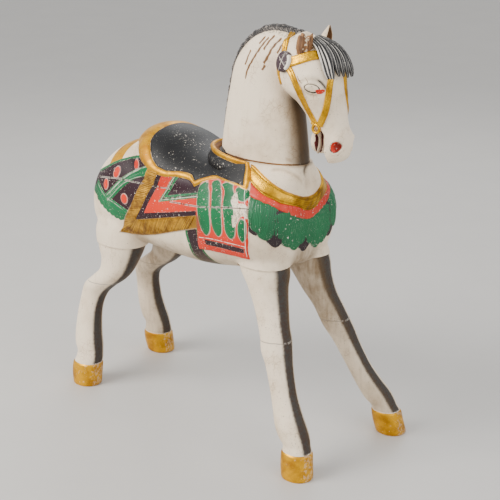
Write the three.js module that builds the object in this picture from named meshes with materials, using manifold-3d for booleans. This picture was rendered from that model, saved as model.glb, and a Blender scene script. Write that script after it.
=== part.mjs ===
// A carved and painted carousel horse that stands on its own four hooves.
//
// Millimetres, +Z up. The horse faces +X, its right side is -Y, and the floor is Z = 0.
// The wood was glued up from a trunk, a neck with its head, and four legs, then carved, so those six are the
// solids here. Each joint is a level saw cut, and the pieces keep a hair's gap there.
import * as THREE from "three";
import { mergeVertices } from "three/addons/utils/BufferGeometryUtils.js";
import Module from "manifold-3d";

const wasm = await Module();
wasm.setup();

// Driving heights above the floor
const NECK_JOINT = 830;
const FORE_JOINT = 542;
const HIND_JOINT = 483;
const JOINT_GAP = 0.3;

// How far the carved harness stands proud of the wood under it
const CRUPPER_PROUD = 4;
const BLANKET_PROUD = 6;
const PANEL_PROUD = 9;
const COLLAR_PROUD = 13;
const RIM_PROUD = 11;
const MANE_PROUD = 10;
const BRIDLE_PROUD = 4;

// Points round a section, by how large the form is
const TRUNK_SIDES = 20;
const HEAD_SIDES = 16;
const LEG_SIDES = 11;

// The trunk from the back of the rump to the front of the chest: back line, belly line and half width
const TRUNK = [
  { x: -500, top: 600, bottom: 540, half: 30 },
  { x: -490, top: 656, bottom: 510, half: 84 },
  { x: -465, top: 712, bottom: 492, half: 122 },
  { x: -420, top: 764, bottom: 486, half: 150 },
  { x: -350, top: 800, bottom: 488, half: 166 },
  { x: -250, top: 800, bottom: 488, half: 168 },
  { x: -130, top: 782, bottom: 482, half: 164 },
  { x: 0, top: 774, bottom: 484, half: 166 },
  { x: 110, top: 784, bottom: 500, half: 170 },
  { x: 190, top: 790, bottom: 516, half: 174 },
  { x: 250, top: 785, bottom: 528, half: 170 },
  { x: 288, top: 765, bottom: 540, half: 146 },
  { x: 308, top: 735, bottom: 560, half: 106 },
  { x: 316, top: 700, bottom: 600, half: 50 },
];
const TRUNK_SQUARENESS = 2.5;

// The saddle's seat over the trunk: how high the middle stands and how wide it is
const SEAT = [
  { x: -324, top: 806, bottom: 700, half: 30 },
  { x: -312, top: 826, bottom: 680, half: 74 },
  { x: -286, top: 846, bottom: 660, half: 112 },
  { x: -250, top: 857, bottom: 650, half: 138 },
  { x: -210, top: 858, bottom: 640, half: 152 },
  { x: -165, top: 847, bottom: 640, half: 156 },
  { x: -115, top: 824, bottom: 640, half: 154 },
  { x: -60, top: 808, bottom: 640, half: 148 },
  { x: 0, top: 802, bottom: 640, half: 142 },
  { x: 80, top: 804, bottom: 640, half: 138 },
  { x: 160, top: 806, bottom: 640, half: 134 },
];

// Withers and shoulders, rising from the trunk to the neck joint: level sections
const WITHERS = [
  { z: 600, x: 180, long: 130, wide: 140 },
  { z: 700, x: 178, long: 142, wide: 158 },
  { z: 770, x: 166, long: 152, wide: 128 },
  { z: NECK_JOINT, x: 154, long: 156, wide: 82 },
];

// A foreleg from inside the shoulder to the sole: level sections, out from the middle by y
const FORELEG = [
  { z: 620, x: 205, y: 82, long: 66, wide: 60 },
  { z: FORE_JOINT, x: 236, y: 86, long: 76, wide: 62 },
  { z: 480, x: 256, y: 94, long: 61, wide: 52 },
  { z: 430, x: 277, y: 103, long: 52, wide: 45 },
  { z: 380, x: 302, y: 118, long: 47, wide: 41 },
  { z: 345, x: 318, y: 126, long: 47, wide: 41 },
  { z: 315, x: 329, y: 135, long: 47, wide: 40 },
  { z: 280, x: 347, y: 144, long: 41, wide: 36 },
  { z: 240, x: 366, y: 154, long: 39, wide: 34 },
  { z: 200, x: 386, y: 164, long: 39, wide: 34 },
  { z: 160, x: 410, y: 175, long: 43, wide: 37 },
  { z: 130, x: 430, y: 184, long: 47, wide: 40 },
  { z: 105, x: 447, y: 189, long: 46, wide: 39 },
  { z: 85, x: 462, y: 194, long: 40, wide: 35 },
  { z: 72, x: 466, y: 198, long: 45, wide: 39 },
  { z: 40, x: 470, y: 203, long: 47, wide: 41 },
  { z: 0, x: 478, y: 210, long: 46, wide: 41 },
];

// A hind leg from inside the haunch to the sole, midway between the right one and the left
const HIND_LEG = [
  { z: 600, x: -345, y: 92, long: 70, wide: 55 },
  { z: 530, x: -358, y: 100, long: 92, wide: 68 },
  { z: HIND_JOINT, x: -361, y: 108, long: 80, wide: 62 },
  { z: 430, x: -367, y: 114, long: 65, wide: 53 },
  { z: 390, x: -386, y: 120, long: 57, wide: 47 },
  { z: 360, x: -420, y: 124, long: 58, wide: 46 },
  { z: 330, x: -462, y: 128, long: 54, wide: 44 },
  { z: 300, x: -487, y: 132, long: 45, wide: 38 },
  { z: 270, x: -496, y: 138, long: 41, wide: 35 },
  { z: 240, x: -500, y: 144, long: 41, wide: 35 },
  { z: 200, x: -501, y: 150, long: 43, wide: 37 },
  { z: 160, x: -497, y: 157, long: 46, wide: 39 },
  { z: 130, x: -490, y: 162, long: 47, wide: 40 },
  { z: 105, x: -482, y: 166, long: 44, wide: 37 },
  { z: 85, x: -483, y: 169, long: 46, wide: 39 },
  { z: 70, x: -487, y: 172, long: 50, wide: 43 },
  { z: 40, x: -488, y: 176, long: 51, wide: 44 },
  { z: 0, x: -484, y: 181, long: 47, wide: 42 },
];

// The right hind hoof stands this far in front of the middle of the pair, and the left one as far behind it
const HIND_STEP = 20;
// It takes up that step over this much of the leg below the haunch
const HOCK_DROP = 170;

const NECK_TAPER = 0.22;

// The neck from its joint to the poll: the crest line, the throat line and the half width between them
const NECK = [
  { crest: [-2, 830], throat: [310, 830], half: 82 },
  { crest: [8, 920], throat: [303, 900], half: 78 },
  { crest: [24, 1010], throat: [292, 970], half: 73 },
  { crest: [54, 1105], throat: [270, 1030], half: 66 },
  { crest: [118, 1170], throat: [262, 1065], half: 60 },
  { crest: [200, 1199], throat: [268, 1085], half: 55 },
  { crest: [290, 1193], throat: [290, 1095], half: 48 },
];

// The head from the poll to the lips: the face line, the jaw line and the half width between them
const HEAD = [
  { face: [300, 1203], jaw: [205, 1130], half: 48 },
  { face: [372, 1168], jaw: [235, 1070], half: 74 },
  { face: [420, 1110], jaw: [262, 1035], half: 84 },
  { face: [428, 1052], jaw: [305, 1008], half: 70 },
  { face: [438, 998], jaw: [335, 972], half: 55 },
  { face: [452, 958], jaw: [350, 935], half: 48 },
  { face: [465, 925], jaw: [356, 902], half: 52 },
  { face: [458, 884], jaw: [378, 884], half: 46 },
  { face: [436, 858], jaw: [402, 854], half: 28 },
];

// Harness outlines seen from the side, as [x, z]; the two sides match
const CRUPPER = [
  [-150, 800], [-216, 790], [-320, 757], [-375, 730], [-520, 678], [-520, 655], [-397, 621], [-352, 596],
  [-290, 582], [-230, 600],
];
const RUMP_BAND = [[-392, 860], [-350, 860], [-330, 752], [-374, 726]];
const BLANKET = [
  [-150, 790], [-168, 765], [-243, 642], [-315, 534], [-226, 541], [-92, 579], [50, 624], [60, 780],
];
const GIRTH = [[-8, 620], [-8, 440], [56, 440], [44, 560], [44, 620]];
const PANEL = [
  [35, 740], [60, 760], [125, 776], [213, 766], [241, 731], [257, 670], [237, 566], [140, 562],
  [32, 554], [42, 606], [28, 700],
];
const REEDS = [
  [[38, 722], [58, 746], [80, 730], [95, 634], [52, 612]],
  [[95, 734], [110, 760], [127, 738], [147, 640], [114, 618]],
  [[141, 742], [154, 766], [169, 744], [201, 648], [168, 626]],
  [[187, 750], [200, 762], [219, 748], [249, 656], [217, 632]],
];
const SADDLE = [
  [-326, 900], [-326, 806], [-251, 812], [-196, 780], [-138, 757], [-15, 759], [32, 741], [60, 761],
  [107, 775], [214, 764], [189, 811], [170, 900],
];
const SEAT_LEATHER = [
  [-217, 910], [-216, 848], [-191, 820], [-145, 784], [-102, 770], [-20, 771], [26, 755], [60, 774],
  [105, 781], [194, 777], [168, 814], [150, 910],
];
const POMMEL = [[-90, 700], [-90, 852], [0, 850], [90, 842], [172, 831], [172, 700]];

// The breast collar and the feathers under it: each outline from the side as [x, z], up to where
// the chest turns, and from the front as [y, z], one side and mirrored
const CHEST_TURN = 285;
const COLLAR_SIDE = [
  [178, 835], [235, 796], [290, 768], [290, 740], [235, 766], [196, 800],
];
const COLLAR_FRONT = [
  [0, 739], [49, 752], [86, 771], [125, 795], [125, 748], [66, 725], [27, 707], [0, 700],
];
const FEATHER_SIDE = [
  [192, 812], [290, 766], [290, 640], [279, 663], [256, 682], [246, 724], [222, 762],
];
const FEATHER_FRONT = [
  [0, 735], [86, 766], [125, 790], [170, 660], [150, 660], [122, 632], [100, 616], [80, 608], [58, 590],
  [40, 600], [26, 581], [10, 594], [0, 588],
];

// Bridle outlines seen from the side, as [x, z]
const BRIDLE = [
  [[264, 1150], [262, 1215], [282, 1215], [287, 1150]],
  [[304, 1140], [358, 1160], [400, 1190], [420, 1160], [372, 1135], [318, 1117]],
  [[312, 1100], [355, 1004], [378, 958], [400, 968], [380, 1017], [334, 1108]],
  [[416, 1092], [411, 1003], [398, 960], [414, 956], [434, 1048], [434, 1094]],
  [[232, 1104], [236, 1068], [262, 1086], [290, 1084], [300, 1108]],
];
// The forelock, the ears, the mane and the tail as carved locks: a path, then half width and thickness on it
const FORELOCK = [
  {
    path: [[312, -4, 1192], [368, -10, 1170], [408, -20, 1128], [428, -30, 1084]],
    sizes: [[16, 10], [26, 12], [20, 10], [5, 4]],
  },
  {
    path: [[312, 6, 1192], [376, 12, 1164], [418, 24, 1124], [447, 32, 1090]],
    sizes: [[16, 10], [26, 13], [20, 11], [5, 4]],
  },
];
const EAR = {
  path: [[328, 38, 1150], [336, 43, 1175], [342, 47, 1198], [347, 49, 1219]],
  sizes: [[25, 20], [24, 19], [16, 13], [3, 3]],
};
const EAR_HOLLOW = { at: [363, 46, 1190], radii: [14, 12, 22] };
const STUMP = {
  path: [[336, -38, 1150], [341, -42, 1174], [343, -43, 1200]],
  sizes: [[24, 22], [24, 22], [21, 18]],
};
const TAIL = {
  path: [[-470, 0, 662], [-506, 0, 640], [-522, 0, 560], [-524, 0, 470], [-514, 0, 380]],
  sizes: [[18, 16], [32, 22], [40, 24], [34, 18], [8, 7]],
};
const RIDGE = [0.08, 0.2, 0.36, 0.52, 0.68, 0.84, 0.97];
const MANE = [
  [-40, 860], [-40, 1000], [0, 1130], [90, 1230], [300, 1230], [292, 1172], [256, 1130], [200, 1136],
  [166, 1080], [128, 1076], [100, 1010], [66, 985], [52, 900], [30, 862],
];

const EYE = { at: [386, 56, 1068], radii: [24, 15, 15] };
const NOSTRIL = { at: [443, 27, 911], radii: [18, 14, 21] };
const NOSTRIL_HOLE = { at: [453, 38, 908], radii: [11, 14, 15] };
const MOUTH = [
  [386, 944], [402, 948], [416, 930], [418, 905], [430, 880], [424, 840], [398, 840], [404, 880], [398, 905],
];
const LIP_CORE = 12;

const ROSETTE = { x: 291, z: 1126, radius: 29, from: 40, to: 80 };
const BIT_RING = { x: 391, z: 953, radius: 14, from: 30, to: 56 };
const STUD_DRAFT = 0.86;

const PAINT = 0xe8dcc8;

// A closed solid from a geometry whose faces point outwards.
function solid(geometry) {
  for (const name of ["normal", "uv"]) geometry.deleteAttribute(name);
  const merged = mergeVertices(geometry, 1e-4);
  return new wasm.Manifold(
    new wasm.Mesh({
      numProp: 3,
      vertProperties: merged.attributes.position.array,
      triVerts: new Uint32Array(merged.index.array),
    }),
  );
}

// Joins rings of as many points each, one after another, and closes both ends with a fan.
function loft(rings) {
  const sides = rings[0].length;
  const points = rings.flat();
  const index = [];
  for (let ring = 0; ring + 1 < rings.length; ring++) {
    for (let side = 0; side < sides; side++) {
      const a = ring * sides + side;
      const b = ring * sides + ((side + 1) % sides);
      index.push(a, b, b + sides, a, b + sides, a + sides);
    }
  }
  const last = (rings.length - 1) * sides;
  for (let side = 1; side + 1 < sides; side++) {
    index.push(0, side + 1, side, last, last + side, last + side + 1);
  }
  const made = new THREE.BufferGeometry().setFromPoints(points);
  made.setIndex(index);
  return solid(made);
}

// A rounded section's point: 2 gives an ellipse, more gives squarer shoulders.
function rounded(angle, squareness) {
  const bend = (value) => Math.sign(value) * Math.abs(value) ** (2 / squareness);
  return [bend(Math.cos(angle)), bend(Math.sin(angle))];
}

// The smooth curve through one row of values at each station.
function through(rows) {
  return new THREE.CatmullRomCurve3(rows.map((row) => new THREE.Vector3(...row)), false, "centripetal");
}

// A form that is alike on both sides: each section runs between two lines in the middle plane.
function betweenLines(stations, { upper, lower, sides, steps, squareness = 2, taper = 0, grow = 0 }) {
  const high = through(stations.map((station) => [...upper(station), station.half]));
  const low = through(stations.map((station) => [...lower(station), station.half]));
  const rings = [];
  const count = (stations.length - 1) * steps;
  for (let step = 0; step <= count; step++) {
    const [a, b] = [high.getPoint(step / count), low.getPoint(step / count)];
    const reach = Math.hypot(a.x - b.x, a.y - b.y);
    const more = 1 + (2 * grow) / reach;
    const ring = [];
    for (let side = 0; side < sides; side++) {
      const [across, along] = rounded((2 * Math.PI * side) / sides, squareness);
      const share = (1 + along * more) / 2;
      const half = (a.z + grow) * (1 - taper * Math.max(0, along) * Math.min(1, (3 * step) / count));
      ring.push(new THREE.Vector3(b.x + (a.x - b.x) * share, across * half, b.y + (a.y - b.y) * share));
    }
    rings.push(ring);
  }
  return loft(rings);
}

// A limb of level sections, from its highest station down.
function limb(stations, { sides, steps, squareness = 2.2, hand = 0, grow = 0 }) {
  const centre = through(stations.map(({ x, y = 0, z }) => [x, hand * y, z]));
  const reach = through(stations.map(({ long, wide, z }) => [long, wide, z]));
  const rings = [];
  const count = (stations.length - 1) * steps;
  for (let step = 0; step <= count; step++) {
    const at = centre.getPoint(step / count);
    const size = reach.getPoint(step / count);
    const ring = [];
    for (let side = 0; side < sides; side++) {
      const [along, across] = rounded((-2 * Math.PI * side) / sides, squareness);
      ring.push(new THREE.Vector3(at.x + along * (size.x + grow), at.y + across * (size.y + grow), at.z));
    }
    rings.push(ring);
  }
  return loft(rings);
}

// A round lock or ear along a path, its half width and thickness given at each point and lying along `broad`.
function lock(path, sizes, broad, { sides = 8, steps = 2 } = {}) {
  const spine = through(path);
  const size = through(sizes.map(([width, depth]) => [width, depth, 0]));
  const rings = [];
  const count = (path.length - 1) * steps;
  for (let step = 0; step <= count; step++) {
    const at = spine.getPoint(step / count);
    const along = spine.getTangent(step / count);
    const { x: width, y: depth } = size.getPoint(step / count);
    const normal = new THREE.Vector3().crossVectors(along, broad).normalize();
    const flat = new THREE.Vector3().crossVectors(normal, along).normalize();
    const ring = [];
    for (let side = 0; side < sides; side++) {
      const angle = (2 * Math.PI * side) / sides;
      const edge = at.clone().addScaledVector(flat, Math.cos(angle) * width);
      ring.push(edge.addScaledVector(normal, Math.sin(angle) * depth));
    }
    rings.push(ring);
  }
  return loft(rings);
}

// A rounded boss or eyeball.
function boss(at, radii, { around = 8, high = 5 } = {}) {
  const made = new THREE.SphereGeometry(1, around, high).scale(...radii).translate(...at);
  return solid(made);
}

// A block with a side view's outline, reaching past both sides of the horse, or between two distances.
function sideBlock(outline, from = -400, to = 400) {
  const shape = new THREE.Shape(outline.map(([x, z]) => new THREE.Vector2(x, z)));
  const made = new THREE.ExtrudeGeometry(shape, { depth: to - from, bevelEnabled: false });
  made.rotateX(Math.PI / 2).translate(0, to, 0);
  return solid(made);
}

// A block over both cheeks of the chest: a side outline up to the turn, then a mirrored front outline.
function chestBlock(side, front) {
  const across = [...front.map(([y, z]) => [-y, z]).reverse(), ...front.slice(1, -1)];
  const shape = new THREE.Shape(across.map(([y, z]) => new THREE.Vector2(y, z)));
  const made = new THREE.ExtrudeGeometry(shape, { depth: 200, bevelEnabled: false });
  const turn = new THREE.Matrix4().makeBasis(
    new THREE.Vector3(0, 1, 0),
    new THREE.Vector3(0, 0, 1),
    new THREE.Vector3(1, 0, 0),
  );
  made.applyMatrix4(turn.setPosition(CHEST_TURN, 0, 0));
  return solid(made).add(sideBlock(side));
}

// Trunk, seat and withers as one form, grown outwards by a few millimetres for what is carved over it.
function barrel(grow = 0) {
  const lines = { upper: ({ x, top }) => [x, top], lower: ({ x, bottom }) => [x, bottom], grow };
  const trunk = betweenLines(TRUNK, { ...lines, sides: TRUNK_SIDES, steps: 1, squareness: TRUNK_SQUARENESS });
  const seat = betweenLines(SEAT, { ...lines, sides: HEAD_SIDES, steps: 1 });
  const withers = limb([...WITHERS].reverse(), { sides: TRUNK_SIDES, steps: 1, grow });
  return trunk.add(seat).add(withers);
}

// Steps one hind leg forward or back, all of it from the hock down and less above.
function stepped(stations, shift) {
  return stations.map((station) => ({
    ...station,
    x: station.x + shift * Math.min(1, Math.max(0, (HIND_JOINT - station.z) / HOCK_DROP)),
  }));
}

// A leg's stations above its saw cut and below it, with the cut's own station in both.
function split(stations, joint) {
  const cut = stations.findIndex(({ z }) => z === joint);
  return [stations.slice(0, cut + 1), stations.slice(cut)];
}

function makeMesh(name, made) {
  const { vertProperties, triVerts } = made.getMesh();
  const geometry = new THREE.BufferGeometry();
  geometry.setAttribute("position", new THREE.BufferAttribute(vertProperties, 3));
  geometry.setIndex(new THREE.BufferAttribute(triVerts, 1));
  geometry.computeVertexNormals();
  const mesh = new THREE.Mesh(geometry, new THREE.MeshStandardMaterial({ color: PAINT, roughness: 0.55 }));
  mesh.name = name;
  return mesh;
}

// The saddle, its cloth and the breast collar, each a shallow plate that follows the barrel.
function makeHarness() {
  const join = (blocks) => blocks.reduce((whole, block) => whole.add(block));
  const plates = [
    [CRUPPER_PROUD, [sideBlock(CRUPPER), sideBlock(RUMP_BAND), sideBlock(GIRTH)]],
    [BLANKET_PROUD, [sideBlock(BLANKET), chestBlock(FEATHER_SIDE, FEATHER_FRONT), sideBlock(SADDLE)]],
    [PANEL_PROUD, [sideBlock(PANEL)]],
    [COLLAR_PROUD, [...REEDS.map((reed) => sideBlock(reed)), chestBlock(COLLAR_SIDE, COLLAR_FRONT)]],
    [RIM_PROUD, [sideBlock(SADDLE).subtract(sideBlock(SEAT_LEATHER))]],
  ];
  return join(plates.map(([proud, blocks]) => barrel(proud).intersect(join(blocks))));
}

// The raised lip behind the neck, closed round it but for the joint's gap.
function makePommel(neck) {
  const { x, long, wide } = WITHERS.at(-1);
  const lip = limb(
    [
      { z: 850, x, long: long + 16, wide: wide + 14 },
      { z: 830, x, long: long + 34, wide: wide + 28 },
      { z: 790, x, long: long + 38, wide: wide + 34 },
    ],
    { sides: TRUNK_SIDES, steps: 1 },
  );
  return lip.intersect(sideBlock(POMMEL)).subtract(neck);
}

function makeNeck(grow = 0) {
  return betweenLines(NECK, {
    upper: ({ crest }) => crest,
    lower: ({ throat }) => throat,
    sides: HEAD_SIDES,
    steps: 2,
    taper: NECK_TAPER,
    grow,
  });
}

function makeHead(grow = 0) {
  return betweenLines(HEAD, {
    upper: ({ face }) => face,
    lower: ({ jaw }) => jaw,
    sides: HEAD_SIDES,
    steps: 2,
    grow,
  });
}

// The mane: a ridge along the crest, and a scalloped sheet of locks that falls from it down the left side.
function makeMane() {
  const crest = through(NECK.map((station) => [...station.crest, 0]));
  const ridge = RIDGE.map((up) => crest.getPoint(up)).map(({ x, y }) => [x, 5, y]);
  const sizes = RIDGE.map((_, at) => [17, at % 2 === 0 ? 9 : 14]);
  const sheet = makeNeck(MANE_PROUD).intersect(sideBlock(MANE, 3, 200));
  return lock(ridge, sizes, new THREE.Vector3(0, 1, 0), { steps: 1 }).add(sheet);
}

// A short round boss that stands out from one side of the head.
function stud({ x, z, radius, from, to }, hand) {
  const made = new THREE.CylinderGeometry(radius * STUD_DRAFT, radius, to - from, 10);
  if (hand < 0) made.rotateX(Math.PI);
  return solid(made.translate(x, (hand * (from + to)) / 2, z));
}

// Neck and head with ears, forelock, mane, bridle, eyes, nostrils and the open mouth.
function makeNeckAndHead() {
  const bridle = BRIDLE.map((outline) => sideBlock(outline)).reduce((whole, block) => whole.add(block));
  let made = makeNeck().add(makeHead());
  made = made.add(makeHead(BRIDLE_PROUD).add(makeNeck(BRIDLE_PROUD)).intersect(bridle));
  for (const hand of [-1, 1]) {
    const mirrored = ([x, y, z]) => [x, hand * y, z];
    made = made.add(stud(ROSETTE, hand)).add(stud(BIT_RING, hand));
    made = made.add(boss(mirrored(EYE.at), EYE.radii)).add(boss(mirrored(NOSTRIL.at), NOSTRIL.radii));
    made = made.subtract(boss(mirrored(NOSTRIL_HOLE.at), NOSTRIL_HOLE.radii, { high: 4 }));
    made = made.subtract(hand < 0 ? sideBlock(MOUTH, -90, -LIP_CORE) : sideBlock(MOUTH, LIP_CORE, 90));
  }
  for (const { path, sizes } of FORELOCK) made = made.add(lock(path, sizes, new THREE.Vector3(0, 1, 0)));
  const ear = lock(EAR.path, EAR.sizes, new THREE.Vector3(0, 1, 0));
  const hollow = boss(EAR_HOLLOW.at, EAR_HOLLOW.radii, { high: 6 });
  made = made.add(ear.subtract(hollow)).add(lock(STUMP.path, STUMP.sizes, new THREE.Vector3(0.45, 0.9, 0)));
  return made.add(makeMane()).trimByPlane([0, 0, 1], NECK_JOINT + JOINT_GAP);
}

const horse = new THREE.Group();
const pieces = {};

let body = barrel();
for (const [side, hand] of [["right", -1], ["left", 1]]) {
  const hind = stepped(HIND_LEG, -hand * HIND_STEP);
  for (const [name, stations, joint] of [["foreleg", FORELEG, FORE_JOINT], ["hind_leg", hind, HIND_JOINT]]) {
    const [above, below] = split(stations, joint);
    body = body.add(limb(above, { sides: LEG_SIDES, steps: 1, hand }));
    const leg = limb(below, { sides: LEG_SIDES, steps: 1, hand });
    const recess = limb(below, { sides: LEG_SIDES, steps: 1, hand, grow: JOINT_GAP });
    body = body.subtract(recess.trimByPlane([0, 0, -1], -joint));
    pieces[`${name}_${side}`] = leg.trimByPlane([0, 0, -1], JOINT_GAP - joint);
  }
}
body = body.add(makeHarness()).add(makePommel(makeNeck(JOINT_GAP)));
body = body.add(lock(TAIL.path, TAIL.sizes, new THREE.Vector3(0, 1, 0), { sides: 10 }));
pieces.body = body;
pieces.neck_and_head = makeNeckAndHead();

// The origin is on the floor under the middle of the whole horse.
const bounds = Object.values(pieces).map((made) => made.boundingBox());
const middle = (axis) =>
  (Math.min(...bounds.map(({ min }) => min[axis])) + Math.max(...bounds.map(({ max }) => max[axis]))) / 2;
for (const [name, made] of Object.entries(pieces)) {
  horse.add(makeMesh(name, made.translate(-middle(0), -middle(1), 0)));
}

export default horse;
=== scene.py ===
"""A carved and painted carousel horse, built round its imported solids.

The wood is lofted from the same stations as the solids, fused and carved with the harness's relief. What lies
on the wood as a form of its own, such as the breast collar, the feathers, the bridle and the locks of hair,
is a piece of its own. Tables are in the carver's millimetres: x towards the nose, y to the left, z up.
"""

import logging
import math
from collections.abc import Callable, Iterable, Sequence
from dataclasses import dataclass, field
from enum import Enum

import bmesh
import bpy
import numpy as np
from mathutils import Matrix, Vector, kdtree
from mathutils.bvhtree import BVHTree


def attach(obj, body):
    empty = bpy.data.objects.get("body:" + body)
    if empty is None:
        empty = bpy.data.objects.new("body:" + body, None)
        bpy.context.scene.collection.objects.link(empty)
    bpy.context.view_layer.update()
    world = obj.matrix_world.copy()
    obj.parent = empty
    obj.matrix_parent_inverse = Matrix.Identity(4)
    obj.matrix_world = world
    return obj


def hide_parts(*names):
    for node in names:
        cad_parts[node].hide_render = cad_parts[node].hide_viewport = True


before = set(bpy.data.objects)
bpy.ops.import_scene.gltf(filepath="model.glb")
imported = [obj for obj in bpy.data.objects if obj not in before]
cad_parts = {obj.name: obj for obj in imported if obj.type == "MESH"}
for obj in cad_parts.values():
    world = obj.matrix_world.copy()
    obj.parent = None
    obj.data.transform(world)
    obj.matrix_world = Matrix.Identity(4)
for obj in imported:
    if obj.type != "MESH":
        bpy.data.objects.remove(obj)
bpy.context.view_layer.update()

LOG = logging.getLogger("carousel_horse")
BODY = "root"
MM = 0.001
# The tables' zero lies this far behind the middle of the horse's box
TABLE_SHIFT = 20.0
SIDES = {"right": -1, "left": 1}

# Heights of the glued joints, and the hair's breadth that stays open there
NECK_JOINT = 830.0
FORE_JOINT = 542.0
HIND_JOINT = 483.0
JOINT_GAP = 0.3

# The trunk: back line, belly line and half width along the horse
TRUNK = [
    (-500, 600, 540, 30), (-490, 652, 510, 84), (-465, 703, 492, 122), (-420, 757, 486, 150),
    (-350, 800, 488, 166), (-250, 800, 488, 168), (-130, 782, 482, 164), (0, 774, 484, 166),
    (110, 784, 500, 170), (190, 790, 516, 174), (250, 785, 528, 170), (288, 765, 540, 146),
    (308, 735, 560, 106), (316, 700, 600, 50),
]
SEAT = [
    (-324, 806, 700, 30), (-312, 826, 680, 74), (-286, 846, 660, 112), (-250, 857, 650, 138),
    (-210, 858, 640, 152), (-165, 847, 640, 156), (-115, 824, 640, 154), (-60, 808, 640, 148),
    (0, 802, 640, 142), (80, 804, 640, 138), (160, 806, 640, 134),
]
# Level sections from the top down: x, y, z, half length, half width
WITHERS = [
    (150, 0, 862, 156, 82), (154, 0, 830, 156, 82), (166, 0, 770, 152, 128), (178, 0, 700, 142, 158),
    (180, 0, 600, 130, 140),
]
FORELEG = [
    (205, 82, 620, 66, 60), (236, 86, 530, 76, 62), (256, 94, 480, 61, 52), (277, 103, 430, 52, 45),
    (302, 118, 380, 47, 41), (318, 126, 345, 47, 41), (329, 135, 315, 47, 40), (347, 144, 280, 41, 36),
    (366, 154, 240, 39, 34), (386, 164, 200, 39, 34), (410, 175, 160, 43, 37), (430, 184, 130, 47, 40),
    (447, 189, 105, 46, 39), (462, 194, 85, 40, 35), (466, 198, 72, 45, 39), (470, 203, 40, 47, 41),
    (478, 210, 0, 46, 41),
]
HIND_LEG = [
    (-345, 92, 600, 70, 55), (-358, 100, 530, 92, 68), (-361, 108, 470, 80, 62), (-367, 114, 430, 65, 53),
    (-386, 120, 390, 57, 47), (-420, 124, 360, 58, 46), (-462, 128, 330, 54, 44), (-487, 132, 300, 45, 38),
    (-496, 138, 270, 41, 35), (-500, 144, 240, 41, 35), (-501, 150, 200, 43, 37), (-497, 157, 160, 46, 39),
    (-490, 162, 130, 47, 40), (-482, 166, 105, 44, 37), (-483, 169, 85, 46, 39), (-487, 172, 70, 50, 43),
    (-488, 176, 40, 51, 44), (-484, 181, 0, 47, 42),
]
HIND_STEP = 20.0
HOCK_DROP = 170.0
# The neck and the head: upper line and lower line in the middle plane, and the half width between them
NECK = [
    (-2, 780, 310, 780, 82), (-2, 830, 310, 830, 82), (8, 920, 303, 900, 78), (24, 1010, 292, 970, 73),
    (54, 1105, 270, 1030, 66), (118, 1170, 262, 1065, 60), (200, 1199, 268, 1085, 55),
    (290, 1193, 290, 1095, 48),
]
HEAD = [
    (300, 1203, 205, 1130, 48), (372, 1168, 235, 1070, 74), (420, 1110, 262, 1035, 84),
    (428, 1052, 305, 1008, 70),
    (438, 998, 335, 972, 55), (452, 958, 350, 935, 48), (465, 925, 356, 902, 52), (458, 884, 378, 884, 46),
    (436, 858, 402, 854, 28),
]
TRUNK_SQUARENESS = 2.5
LIMB_SQUARENESS = 2.2
NECK_TAPER = 0.22
# The neck's level section at its foot: middle, half length and half width
NECK_MIDDLE = 154.0
NECK_REACH = 156.0
NECK_HALF = 82.0

# The chest's outlines are unrolled round this upright axis, on a drum of this radius
CHEST_AXIS = 150.0
CHEST_RADIUS = 165.0


def smooth(low: float, high: float, value: np.ndarray) -> np.ndarray:
    """A soft step from 0 at low to 1 at high."""
    share = np.clip((value - low) / (high - low), 0.0, 1.0)
    return share * share * (3 - 2 * share)


def bell(distance: np.ndarray, width: float) -> np.ndarray:
    """A rounded hill of height 1, gone about two widths away."""
    return np.exp(-((distance / width) ** 2))


def through(rows: Sequence[Sequence[float]], at: np.ndarray) -> np.ndarray:
    """Samples the smooth curve through some rows of values.

    Args:
        rows: The values at each station.
        at: Where to sample, counted in stations.

    Returns:
        One row of values for each place.
    """
    rows = np.asarray(rows, float)
    padded = np.vstack([2 * rows[0] - rows[1], rows, 2 * rows[-1] - rows[-2]])
    start = np.clip(np.floor(at).astype(int), 0, len(rows) - 2)
    share = (at - start)[:, None]
    before, here, there, after = (padded[start + step] for step in range(4))
    spans = [
        np.maximum(np.linalg.norm(b - a, axis=1) ** 0.5, 1e-3)[:, None]
        for a, b in ((before, here), (here, there), (there, after))
    ]
    leave = (here - before) / spans[0] - (there - before) / (spans[0] + spans[1]) + (there - here) / spans[1]
    reach = (there - here) / spans[1] - (after - here) / (spans[1] + spans[2]) + (after - there) / spans[2]
    leave, reach = leave * spans[1], reach * spans[1]
    return (
        here
        + leave * share
        + (3 * (there - here) - 2 * leave - reach) * share**2
        + (2 * (here - there) + leave + reach) * share**3
    )


def evenly(points: Sequence[Sequence[float]], step: float, curved: bool = True) -> np.ndarray:
    """Points a step apart along a line or a smooth curve, both ends kept."""
    points = np.asarray(points, float)
    if curved:
        points = through(points, np.linspace(0, len(points) - 1, 24 * (len(points) - 1) + 1))
    along = np.concatenate([[0.0], np.cumsum(np.linalg.norm(np.diff(points, axis=0), axis=1))])
    places = np.linspace(0, along[-1], max(2, int(round(along[-1] / step)) + 1))
    return np.stack([np.interp(places, along, column) for column in points.T], axis=1)


def bent(angle: np.ndarray, squareness: float) -> tuple[np.ndarray, np.ndarray]:
    """A rounded section's two shares at an angle: 2 is an ellipse, more has squarer shoulders."""
    power = 2 / squareness
    cosine, sine = np.cos(angle), np.sin(angle)
    return np.sign(cosine) * abs(cosine) ** power, np.sign(sine) * abs(sine) ** power


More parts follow.
